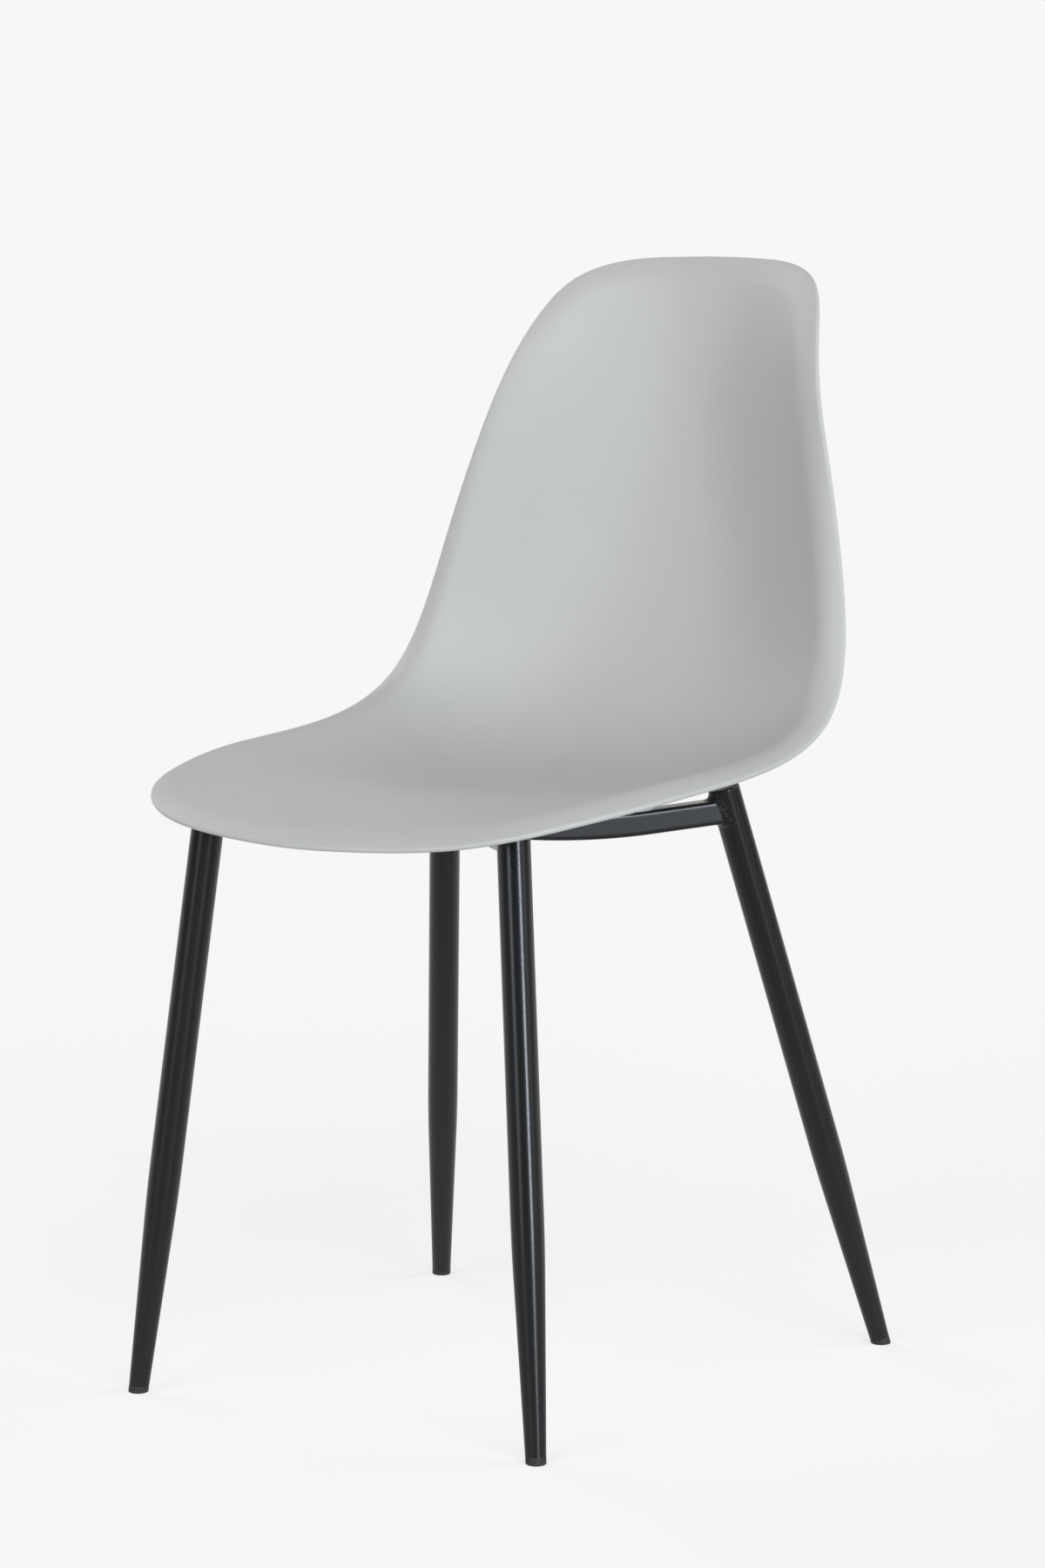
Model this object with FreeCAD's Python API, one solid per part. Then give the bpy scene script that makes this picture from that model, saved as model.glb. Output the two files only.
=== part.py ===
import FreeCAD, Part
import math
import os
from bisect import bisect_right
from FreeCAD import Vector

# Moulded plastic shell chair on four tapered steel legs.
# Millimetres. The origin is on the floor under the middle of the chair,
# +Z is up, the sitter faces -Y and +X is the side seen at the right from the front.

# Where each leg meets the floor, and where its axis is at a height of LEG_GUIDE_Z
LEG_GUIDE_Z = 375.0
FRONT_FOOT = (185.0, -250.5)
FRONT_GUIDE = (147.6, -220.5)
REAR_FOOT = (216.0, 208.0)
REAR_GUIDE = (148.0, 114.0)

# Leg tube and its top cap; the front legs end a little higher than the rear legs
LEG_RADIUS = 12.5
LEG_WALL = 1.5
LEG_FOOT_RADIUS = 7.8
LEG_TAPER_END = 160.0
REAR_TOP_Z = 460.0
FRONT_TOP_RISE = 4.0
FRONT_TOP_Z = REAR_TOP_Z + FRONT_TOP_RISE
CAP_THICKNESS = 2.5
CAP_EDGE_RADIUS = 1.6
CAP_PLUG_DEPTH = 4.0
PLUG_CLEARANCE = 0.05

# Plastic foot glide
GLIDE_HEIGHT = 5.5
GLIDE_STEM_LENGTH = 14.0
GLIDE_EDGE_RADIUS = 1.2

# Crossed rails of square tube, bent so that their middle hangs lower.
# At each end the middle of the rail is a drop below the top of the leg.
RAIL_HEIGHT = 19.0
RAIL_WIDTH = 19.0
RAIL_WALL = 1.5
RAIL_CORNER_RADIUS = 2.5
RAIL_LEAST_CORNER = 0.5
RAIL_REAR_DROP = 18.5
RAIL_FRONT_DROP = 10.5
RAIL_REAR_Z = REAR_TOP_Z - RAIL_REAR_DROP
RAIL_FRONT_Z = FRONT_TOP_Z - RAIL_FRONT_DROP
RAIL_REAR_SLOPE = 0.104
RAIL_FRONT_SLOPE = 0.080
RAIL_BEND_RADIUS = 550.0
JOINT_CLEARANCE = 0.02

# Weld beads round the rail ends, as (distance from the joint face, height of the bead)
REAR_WELD = [(-7.0, 7.0), (1.5, 2.6), (7.0, 0.5)]
FRONT_WELD = [(-7.0, 3.6), (1.5, 1.5), (5.0, 0.5)]
WELD_SIDE_SHARE = 0.4

# Weld seams in the corners where the rails cross
CROSS_WELD_LEG = 4.0
CROSS_WELD_HOLLOW = 0.36
CROSS_WELD_HEIGHT = 14.0

# Seat fixings, measured along a rail from the leg axis
REAR_FIXING = 72.0
FRONT_FIXING = 62.0
BOLT_RADIUS = 3.0
BOLT_LENGTH = 12.0
BOLT_HEAD_RADIUS = 5.25
BOLT_HEAD_HEIGHT = 3.3
BOLT_HEAD_EDGE = 1.4
BOLT_SOCKET_ACROSS = 4.0
BOLT_SOCKET_DEPTH = 2.0
BOLT_HOLE_CLEARANCE = 0.3
ACCESS_HOLE_RADIUS = 7.0
WASHER_RADIUS = 6.25
WASHER_THICKNESS = 1.6
INSERT_RADIUS = 4.25
INSERT_LENGTH = 8.0
INSERT_FLANGE_RADIUS = 5.2
INSERT_FLANGE_THICKNESS = 0.8
INSERT_CLEARANCE = 0.05
BOLT_END_CLEARANCE = 0.6
BOSS_RADIUS = 10.5
BOSS_ROOT_RADIUS = 11.5

# Plastic shell with an edge rolled outward
SHELL_THICKNESS = 4.5
FLANGE_WIDTH = 25.0
FLANGE_POWER = 1.7

# Middle of the shell from the front lip over the pan to the top, as (y, height over the rear leg tops)
MIDDLE_LINE = [
    (-291.5, -5.0), (-254.5, 0.5), (-207.5, 5.5), (-157.5, 6.5), (-102.5, 3.5),
    (-47.5, -1.5), (7.5, -5.0), (57.5, -4.5), (105.5, 3.0), (149.5, 22.0),
    (185.5, 58.0), (210.5, 110.0), (228.5, 172.0), (246.5, 244.0), (263.5, 316.0),
    (278.5, 378.0), (287.5, 413.0),
]

# Edge of the shell, as (half width, distance along the middle line)
EDGE_LINE = [
    (0.0, -4.5), (48.0, 0.5), (95.0, 9.5), (139.0, 24.0), (173.0, 49.0),
    (197.0, 86.0), (212.0, 130.0), (220.5, 179.0), (223.0, 240.0), (221.0, 322.0),
    (214.5, 425.0), (206.0, 515.0), (191.5, 599.0), (170.5, 683.0), (149.0, 756.0),
    (135.0, 801.0), (114.0, 839.5), (80.0, 858.0), (40.0, 864.0), (0.0, 865.5),
]

# Depth of the bowl at the sides, as (distance along the middle line, depth)
BOWL_DEPTH = [
    (0.0, 25.0), (110.0, 26.0), (220.0, 43.2), (330.0, 58.7), (440.0, 66.7),
    (550.0, 67.7), (700.0, 77.2), (770.0, 70.7), (868.0, 40.0),
]

# Half width at which that depth is reached
BOWL_HALF_WIDTH = [
    (0.0, 226.0), (240.0, 232.0), (425.0, 219.0), (600.0, 194.0), (685.0, 173.0),
    (757.0, 151.0), (868.0, 138.0),
]

# How late the bowl turns up towards its sides
BOWL_POWER = [(0.0, 3.2), (250.0, 2.9), (500.0, 2.5), (868.0, 2.3)]

# How far the rolled edge turns away from the bowl, as (distance along the middle line, drop)
FLANGE_DROP = [
    (0.0, 8.3), (110.0, 12.5), (220.0, 17.0), (330.0, 18.0), (700.0, 17.0), (770.0, 15.0), (868.0, 8.3),
]

# How finely the skin of the shell is measured out
SHELL_MIDDLE = 400.0
MIDDLE_SHARE = 0.003
BOWL_STEPS = 10
FLANGE_STEPS = 5
EDGE_STEPS = 6
HALF_STATIONS = 48
OVERRUN = 4
STEP = 0.05
HALVINGS = 40


def smooth(points):
    """Return the smooth function through (place, value) points, straight beyond the ends."""
    xs = [p[0] for p in points]
    ys = [p[1] for p in points]
    last = len(xs) - 1
    gap = [xs[i + 1] - xs[i] for i in range(last)]
    slope = [(ys[i + 1] - ys[i]) / gap[i] for i in range(last)]
    diagonal = [1.0] * (last + 1)
    load = [0.0] * (last + 1)
    for i in range(1, last):
        before = gap[i - 1] if i > 1 else 0.0
        factor = before / diagonal[i - 1]
        diagonal[i] = 2 * (gap[i - 1] + gap[i]) - factor * before
        load[i] = 6 * (slope[i] - slope[i - 1]) - factor * load[i - 1]
    bend = [0.0] * (last + 1)
    for i in range(last - 1, 0, -1):
        bend[i] = (load[i] - gap[i] * bend[i + 1]) / diagonal[i]

    def value(x):
        if x <= xs[0]:
            return ys[0] + (slope[0] - gap[0] * bend[1] / 6) * (x - xs[0])
        if x >= xs[last]:
            return ys[last] + (slope[-1] + gap[-1] * bend[last - 1] / 6) * (x - xs[last])
        i = bisect_right(xs, x) - 1
        past = x - xs[i]
        left = xs[i + 1] - x
        curved = (bend[i] * left ** 3 + bend[i + 1] * past ** 3) / (6 * gap[i])
        low = ys[i] / gap[i] - bend[i] * gap[i] / 6
        high = ys[i + 1] / gap[i] - bend[i + 1] * gap[i] / 6
        return curved + low * left + high * past

    return value


def distances(points):
    """Distances from the first point to each point along the straight steps between them."""
    total = [0.0]
    for a, b in zip(points, points[1:]):
        total.append(total[-1] + math.hypot(b[0] - a[0], b[1] - a[1]))
    return total


along = distances(MIDDLE_LINE)
MIDDLE_LENGTH = along[-1]
middle_y = smooth([(s, p[0]) for s, p in zip(along, MIDDLE_LINE)])
middle_z = smooth([(s, REAR_TOP_Z + p[1]) for s, p in zip(along, MIDDLE_LINE)])
bowl_depth = smooth(BOWL_DEPTH)
bowl_half_width = smooth(BOWL_HALF_WIDTH)
bowl_power = smooth(BOWL_POWER)
flange_drop = smooth(FLANGE_DROP)

# The right half of the edge has its mirror image before and after it, so it meets the middle squarely
mirrored = [(-x, s) for x, s in reversed(EDGE_LINE)]
loop = mirrored[:-1] + EDGE_LINE + mirrored[1:]
loop_along = distances(loop)
edge_x = smooth([(d, p[0]) for d, p in zip(loop_along, loop)])
edge_s = smooth([(d, p[1]) for d, p in zip(loop_along, loop)])
EDGE_START = loop_along[len(EDGE_LINE) - 1]
EDGE_END = loop_along[2 * len(EDGE_LINE) - 2]


def middle_up(s):
    """Direction at a right angle to the middle line, towards the sitter."""
    y = middle_y(s + STEP) - middle_y(s - STEP)
    z = middle_z(s + STEP) - middle_z(s - STEP)
    length = math.hypot(y, z)
    return Vector(0, -z / length, y / length)


def bowl_point(x, s):
    """Point half way through the shell, without the rolled flange."""
    depth = bowl_depth(s) * (abs(x) / bowl_half_width(s)) ** bowl_power(s)
    return Vector(x, middle_y(s), middle_z(s)) + middle_up(s) * depth


def edge_place(e, inward):
    """Place (x, s) at a distance inward from the edge of the shell."""
    dx = edge_x(e + STEP) - edge_x(e - STEP)
    ds = edge_s(e + STEP) - edge_s(e - STEP)
    length = math.hypot(dx, ds)
    return edge_x(e) - ds / length * inward, edge_s(e) + dx / length * inward


def flange_point(e, inward):
    """Point half way through the shell near its edge, with the rolled flange."""
    x, s = edge_place(e, inward)
    rest = max(0.0, 1.0 - inward / FLANGE_WIDTH)
    return bowl_point(x, s) - middle_up(s) * (flange_drop(s) * rest ** FLANGE_POWER)


def unit_normal(point, a, b):
    """Normal of the surface point(a, b)."""
    da = point(a + STEP, b) - point(a - STEP, b)
    db = point(a, b + STEP) - point(a, b - STEP)
    return da.cross(db).normalize()


def bowl_place(e, share):
    """Place (x, s) on the straight way from the middle of the shell to the inside of the flange."""
    x, s = edge_place(e, FLANGE_WIDTH)
    return x * share, SHELL_MIDDLE + (s - SHELL_MIDDLE) * share


def bowl_skin_point(e, share, side):
    """Point on the sitter's side (1) or the back (-1) of the shell, inside the flange."""
    x, s = bowl_place(e, share)
    return bowl_point(x, s) + unit_normal(bowl_point, x, s) * (side * SHELL_THICKNESS / 2)


def edge_skin_point(e, inward, turn):
    """Point on the flange or its rounded edge; turn is 90 degrees on the sitter's side."""
    point = flange_point(e, inward)
    normal = unit_normal(flange_point, e, inward)
    outward = (flange_point(e, inward - STEP) - flange_point(e, inward + STEP)).normalize()
    angle = math.radians(turn)
    return point + (normal * math.sin(angle) + outward * math.cos(angle)) * (SHELL_THICKNESS / 2)


def skin_line(e):
    """Points from the middle of the sitter's side over the edge to the middle of the back."""
    shares = [MIDDLE_SHARE] + [i / BOWL_STEPS for i in range(1, BOWL_STEPS + 1)]
    radius = SHELL_THICKNESS / 2
    inwards = [radius + (FLANGE_WIDTH - radius) * i / FLANGE_STEPS for i in range(1, FLANGE_STEPS)]
    turns = [90 - 180 * i / EDGE_STEPS for i in range(EDGE_STEPS + 1)]
    front = [bowl_skin_point(e, share, 1) for share in shares]
    front += [edge_skin_point(e, inward, 90) for inward in reversed(inwards)]
    edge = [edge_skin_point(e, radius, turn) for turn in turns]
    back = [edge_skin_point(e, inward, -90) for inward in inwards]
    back += [bowl_skin_point(e, share, -1) for share in reversed(shares)]
    return front + edge + back


def plain_shell():
    """The shell without its bosses: a skin run once round the edge, split into faces."""
    step = (EDGE_END - EDGE_START) / HALF_STATIONS
    half = [skin_line(EDGE_START + step * i) for i in range(HALF_STATIONS + 1)]
    other = [[Vector(-p.x, p.y, p.z) for p in line] for line in reversed(half)]
    once_round = half + other[1:]
    lines = once_round[-1 - OVERRUN:-1] + once_round + once_round[1:1 + OVERRUN]
    skin = Part.BSplineSurface()
    skin.interpolate(lines)
    first = skin.getUKnot(1 + OVERRUN)
    last = skin.getUKnot(skin.NbUKnots - OVERRUN)
    skin.segment(first, last, skin.getVKnot(1), skin.getVKnot(skin.NbVKnots))
    for column, side in ((1, 1), (skin.NbVPoles, -1)):
        centre = bowl_skin_point(EDGE_START, 0.0, side)
        for row in range(1, skin.NbUPoles + 1):
            skin.setPole(row, column, centre)
    bowl_end = 1 + BOWL_STEPS
    flange_end = bowl_end + FLANGE_STEPS
    edge_end = flange_end + EDGE_STEPS
    across = [1, bowl_end, flange_end, edge_end, edge_end + FLANGE_STEPS, skin.NbVKnots]
    around = [1, 1 + HALF_STATIONS, 1 + 2 * HALF_STATIONS]
    faces = []
    for v_start, v_end in zip(across, across[1:]):
        for u_start, u_end in zip(around, around[1:]):
            piece = skin.copy()
            piece.segment(skin.getUKnot(u_start), skin.getUKnot(u_end),
                          skin.getVKnot(v_start), skin.getVKnot(v_end))
            faces.append(piece.toShape())
    sewn = Part.Compound(faces)
    sewn.sewShape()
    return Part.Solid(sewn.Shells[0])


def shell_height(x, y):
    """Height of the middle of the shell's wall over a place in the seat pan."""
    low, high = 0.0, MIDDLE_LENGTH / 2
    for _ in range(HALVINGS):
        s = (low + high) / 2
        if bowl_point(x, s).y < y:
            low = s
        else:
            high = s
    return bowl_point(x, s).z


def mirror(shape):
    """The same shape on the other side of the chair."""
    return shape.mirror(Vector(0, 0, 0), Vector(1, 0, 0))


def turned(points):
    """Solid of revolution about Z from (radius, height) points."""
    corners = [Vector(r, 0, h) for r, h in points]
    face = Part.Face(Part.makePolygon(corners + corners[:1]))
    return face.revolve(Vector(0, 0, 0), Vector(0, 0, 1), 360)


def tube(outer, inner, low, high):
    """Round tube along Z; inner may be 0."""
    start = Vector(0, 0, low)
    body = Part.makeCylinder(outer, high - low, start)
    if inner:
        body = body.cut(Part.makeCylinder(inner, high - low, start))
    return body


class Leg:
    """One leg: its axis, and the pieces that sit on it."""

    def __init__(self, foot, guide, top_z):
        self.foot = Vector(foot[0], foot[1], 0)
        self.axis = Vector(guide[0], guide[1], LEG_GUIDE_Z) - self.foot
        self.axis.normalize()
        self.length = top_z / self.axis.z

    def at(self, z):
        """Point of the axis at a height."""
        return self.foot + self.axis * (z / self.axis.z)

    def placed(self, shape):
        """Put a shape made along Z onto the leg axis."""
        turn = FreeCAD.Rotation(Vector(0, 0, 1), self.axis)
        moved = shape.copy()
        moved.Placement = FreeCAD.Placement(self.foot, turn)
        return moved

    def body(self):
        """Tapered tube, open at both ends."""
        top = self.length - CAP_THICKNESS
        outer = [(LEG_FOOT_RADIUS, GLIDE_HEIGHT), (LEG_RADIUS, LEG_TAPER_END), (LEG_RADIUS, top)]
        inner = [(r - LEG_WALL, h) for r, h in reversed(outer)]
        return self.placed(turned(outer + inner))

    def envelope(self):
        """Round bar that clears the straight part of the leg and reaches past its top."""
        radius = LEG_RADIUS + JOINT_CLEARANCE
        return self.placed(tube(radius, 0.0, LEG_TAPER_END, self.length + LEG_RADIUS))

    def cap(self):
        """Cap with a rounded edge, plugged into the top of the tube."""
        low = self.length - CAP_THICKNESS
        disc = Part.makeCylinder(LEG_RADIUS, CAP_THICKNESS, Vector(0, 0, low))
        top_edge = [e for e in disc.Edges if e.BoundBox.ZMin > self.length - PLUG_CLEARANCE]
        disc = disc.makeFillet(CAP_EDGE_RADIUS, top_edge)
        plug_radius = LEG_RADIUS - LEG_WALL - PLUG_CLEARANCE
        plug = Part.makeCylinder(plug_radius, CAP_PLUG_DEPTH, Vector(0, 0, low - CAP_PLUG_DEPTH))
        return self.placed(disc.fuse(plug).removeSplitter())

    def glide(self):
        """Foot glide, cut flat by the floor and rounded there, with a stem up the tube."""
        collar = self.placed(tube(LEG_FOOT_RADIUS, 0.0, -GLIDE_HEIGHT, GLIDE_HEIGHT))
        reach = 4 * LEG_FOOT_RADIUS
        below = Part.makeBox(reach, reach, reach, self.foot - Vector(reach / 2, reach / 2, reach))
        collar = collar.cut(below)
        floor_edges = [e for e in collar.Edges if e.BoundBox.ZMax < PLUG_CLEARANCE]
        collar = collar.makeFillet(GLIDE_EDGE_RADIUS, floor_edges)
        stem_radius = LEG_FOOT_RADIUS - LEG_WALL - PLUG_CLEARANCE
        stem = Part.makeCylinder(stem_radius, GLIDE_STEM_LENGTH, Vector(0, 0, GLIDE_HEIGHT))
        return collar.fuse(self.placed(stem)).removeSplitter()


def rounded_rectangle(width, height, corner, start, across, up):
    """Closed wire of a rectangle with round corners, centred on start."""
    wide = across * (width / 2 - corner)
    tall = up * (height / 2 - corner)
    diagonal = corner * math.sqrt(0.5)
    edges = []
    ends = []
    for a, b in ((1, 1), (-1, 1), (-1, -1), (1, -1)):
        centre = start + wide * a + tall * b
        side = centre + across * (a * corner)
        level = centre + up * (b * corner)
        middle = centre + across * (a * diagonal) + up * (b * diagonal)
        first, last = (side, level) if a == b else (level, side)
        edges.append(Part.Arc(first, middle, last).toShape())
        ends.append((first, last))
    for (_, last), (first, _) in zip(ends, ends[1:] + ends[:1]):
        edges.append(Part.makeLine(last, first))
    return Part.Wire(Part.__sortEdges__(edges))


class Rail:
    """Rail from the right rear leg to the left front leg, in its own upright plane."""

    def __init__(self, rear, front):
        rear_point = rear.at(RAIL_REAR_Z)
        front_point = front.at(RAIL_FRONT_Z)
        front_point.x = -front_point.x
        level = Vector(front_point.x - rear_point.x, front_point.y - rear_point.y, 0)
        self.start = Vector(rear_point.x, rear_point.y, 0)
        self.span = level.Length
        self.level = level.normalize()
        self.across = self.level.cross(Vector(0, 0, 1))
        self.rear_angle = math.atan(RAIL_REAR_SLOPE)
        self.front_angle = math.atan(RAIL_FRONT_SLOPE)
        rise = RAIL_REAR_Z - RAIL_FRONT_Z + RAIL_FRONT_SLOPE * self.span
        knee = rise / (RAIL_REAR_SLOPE + RAIL_FRONT_SLOPE)
        knee_z = RAIL_REAR_Z - RAIL_REAR_SLOPE * knee
        reach = RAIL_BEND_RADIUS * math.tan((self.rear_angle + self.front_angle) / 2)
        self.bend_start = knee - reach * math.cos(self.rear_angle)
        self.bend_end = knee + reach * math.cos(self.front_angle)
        self.lowest = self.bend_start + RAIL_BEND_RADIUS * math.sin(self.rear_angle)
        self.bend_centre_z = (knee_z + reach * math.sin(self.rear_angle)
                              + RAIL_BEND_RADIUS * math.cos(self.rear_angle))

    def point(self, along_rail, z):
        """Point in the plane of the rail."""
        return self.start + self.level * along_rail + Vector(0, 0, z)

    def bent(self, along_rail):
        """Point on the bent part of the middle line."""
        off = along_rail - self.lowest
        return self.point(along_rail, self.bend_centre_z - math.sqrt(RAIL_BEND_RADIUS ** 2 - off ** 2))

    def path(self):
        """Middle line of the rail: straight, bent, straight."""
        first = self.bent(self.bend_start)
        last = self.bent(self.bend_end)
        return Part.Wire([Part.makeLine(self.point(0, RAIL_REAR_Z), first),
                          Part.Arc(first, self.bent(self.lowest), last).toShape(),
                          Part.makeLine(last, self.point(self.span, RAIL_FRONT_Z))])

    def slab(self):
        """Upright slab along the rail that the ends of the other rail's halves stop at."""
        side = self.across * (RAIL_WIDTH / 2 + JOINT_CLEARANCE)
        corners = [self.point(0, 0) + side, self.point(self.span, 0) + side,
                   self.point(self.span, 0) - side, self.point(0, 0) - side]
        face = Part.Face(Part.makePolygon(corners + corners[:1]))
        return face.extrude(Vector(0, 0, FRONT_TOP_Z))

    def crossing(self):
        """Point where the middle lines of the two rails cross."""
        return self.bent(-self.start.x / self.level.x)

    def up(self, at_rear):
        """Direction at a right angle to the straight part at one end."""
        angle = self.rear_angle if at_rear else -self.front_angle
        return self.level * math.sin(angle) + Vector(0, 0, math.cos(angle))

    def solid(self, shrink):
        """The rail's outside, shrunk evenly on all four sides."""
        corner = max(RAIL_CORNER_RADIUS - shrink, RAIL_LEAST_CORNER)
        up = self.up(True)
        outline = rounded_rectangle(RAIL_WIDTH - 2 * shrink, RAIL_HEIGHT - 2 * shrink, corner,
                                    self.point(0, RAIL_REAR_Z), self.across, up)
        return self.path().makePipeShell([outline], True, False)

    def fixing(self, at_rear):
        """Point on the middle line where the seat is bolted on."""
        if at_rear:
            return self.point(REAR_FIXING, RAIL_REAR_Z - RAIL_REAR_SLOPE * REAR_FIXING)
        place = self.span - FRONT_FIXING
        return self.point(place, RAIL_FRONT_Z - RAIL_FRONT_SLOPE * FRONT_FIXING)

    def placed(self, shape, at_rear):
        """Put a shape made along Z onto a fixing."""
        turn = FreeCAD.Rotation(Vector(0, 0, 1), self.up(at_rear))
        moved = shape.copy()
        moved.Placement = FreeCAD.Placement(self.fixing(at_rear), turn)
        return moved

    def tube(self):
        """Hollow rail with a bolt hole above each access hole, before its ends are cut."""
        body = self.solid(0.0).cut(self.solid(RAIL_WALL))
        hole = tube(BOLT_RADIUS + BOLT_HOLE_CLEARANCE, 0.0, 0.0, RAIL_HEIGHT)
        hole = hole.fuse(tube(ACCESS_HOLE_RADIUS, 0.0, -RAIL_HEIGHT, 0.0))
        for at_rear in (True, False):
            body = body.cut(self.placed(hole, at_rear))
        return body


def weld_bead(start, outward, up, rings):
    """Bead round a rail end, as a smooth skin through rings of decreasing height."""
    across = outward.cross(up)
    wires = []
    for distance, bead in rings:
        width = RAIL_WIDTH + 2 * bead * WELD_SIDE_SHARE
        height = RAIL_HEIGHT + 2 * bead
        place = start + outward * (LEG_RADIUS + distance)
        wires.append(rounded_rectangle(width, height, RAIL_CORNER_RADIUS, place, across, up))
    return Part.makeLoft(wires, True, False)


def cross_welds(rail):
    """Four upright seams in the corners where the rails cross."""
    one = rail.level
    other = Vector(-one.x, one.y, 0)
    side = Vector(0, 0, 1).cross(one)
    other_side = Vector(0, 0, 1).cross(other)
    offset = RAIL_WIDTH / 2 + JOINT_CLEARANCE
    low = rail.crossing() - Vector(0, 0, CROSS_WELD_HEIGHT / 2)
    seams = []
    for a, b in ((1, 1), (1, -1), (-1, 1), (-1, -1)):
        along_one = one * (a * offset / one.dot(other_side))
        along_other = other * (b * offset / other.dot(side))
        corner = low + along_one + along_other
        first = along_one.normalize() * CROSS_WELD_LEG
        last = along_other.normalize() * CROSS_WELD_LEG
        hollow = Part.Arc(corner + first, corner + (first + last) * CROSS_WELD_HOLLOW, corner + last)
        outline = Part.Wire([Part.makeLine(corner, corner + first), hollow.toShape(),
                             Part.makeLine(corner + last, corner)])
        seams.append(Part.Face(outline).extrude(Vector(0, 0, CROSS_WELD_HEIGHT)))
    return Part.Compound(seams)


def biggest(shape):
    """The largest solid of a shape."""
    return max(shape.Solids, key=lambda solid: solid.Volume)


# Height over the rail's middle line of the face that the bolt heads press on, inside the rail
UNDER_HEAD = RAIL_HEIGHT / 2 - RAIL_WALL - WASHER_THICKNESS


def bolt():
    """Button head bolt from below, with its head inside the rail against the washer."""
    shank = Part.makeCylinder(BOLT_RADIUS, BOLT_LENGTH, Vector(0, 0, UNDER_HEAD))
    head = tube(BOLT_HEAD_RADIUS, 0.0, UNDER_HEAD - BOLT_HEAD_HEIGHT, UNDER_HEAD)
    low_edge = [e for e in head.Edges if e.BoundBox.ZMax < UNDER_HEAD - BOLT_HEAD_HEIGHT / 2]
    head = head.makeFillet(BOLT_HEAD_EDGE, low_edge)
    reach = BOLT_SOCKET_ACROSS / math.sqrt(3)
    angles = [math.radians(60 * i) for i in range(7)]
    face_z = UNDER_HEAD - BOLT_HEAD_HEIGHT
    corners = [Vector(reach * math.cos(a), reach * math.sin(a), face_z) for a in angles]
    socket = Part.Face(Part.makePolygon(corners)).extrude(Vector(0, 0, BOLT_SOCKET_DEPTH))
    return shank.fuse(head).removeSplitter().cut(socket)


def washer():
    """Flat washer under the rail's upper wall."""
    return tube(WASHER_RADIUS, BOLT_RADIUS + BOLT_HOLE_CLEARANCE, UNDER_HEAD, UNDER_HEAD + WASHER_THICKNESS)


def insert(extra=0.0, bore=BOLT_RADIUS + INSERT_CLEARANCE):
    """Threaded insert, flush with the foot of the boss."""
    low = RAIL_HEIGHT / 2
    flange = tube(INSERT_FLANGE_RADIUS + extra, bore, low, low + INSERT_FLANGE_THICKNESS)
    return tube(INSERT_RADIUS + extra, bore, low, low + INSERT_LENGTH).fuse(flange).removeSplitter()


def boss(rail, at_rear):
    """Moulded boss from the top of the rail into the wall of the shell."""
    foot = rail.fixing(at_rear) + rail.up(at_rear) * (RAIL_HEIGHT / 2)
    height = (shell_height(foot.x, foot.y) - foot.z) / rail.up(at_rear).z
    cone = Part.makeCone(BOSS_RADIUS, BOSS_ROOT_RADIUS, height, Vector(0, 0, RAIL_HEIGHT / 2))
    return rail.placed(cone, at_rear)


def boss_hole(rail, at_rear):
    """Blind hole for the insert and the end of the bolt."""
    low = RAIL_HEIGHT / 2
    bolt_end = UNDER_HEAD + BOLT_LENGTH
    deep = tube(INSERT_RADIUS + INSERT_CLEARANCE, 0.0, low, bolt_end + BOLT_END_CLEARANCE)
    return rail.placed(insert(INSERT_CLEARANCE, 0.0).fuse(deep), at_rear)


def seat_shell(rail):
    """Shell, bosses and the holes in the bosses."""
    body = plain_shell()
    for at_rear in (True, False):
        one = boss(rail, at_rear)
        body = body.fuse([one, mirror(one)])
    for at_rear in (True, False):
        one = boss_hole(rail, at_rear)
        body = body.cut([one, mirror(one)])
    return biggest(body)


def save(node, shape):
    """Write one node and report it."""
    shape.exportStep("parts/" + node + ".step")
    box = shape.BoundBox
    print(node, shape.isValid(), len(shape.Solids), round(shape.Volume), [round(v, 1) for v in (
        box.XMin, box.YMin, box.ZMin, box.XMax, box.YMax, box.ZMax)])


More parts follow.
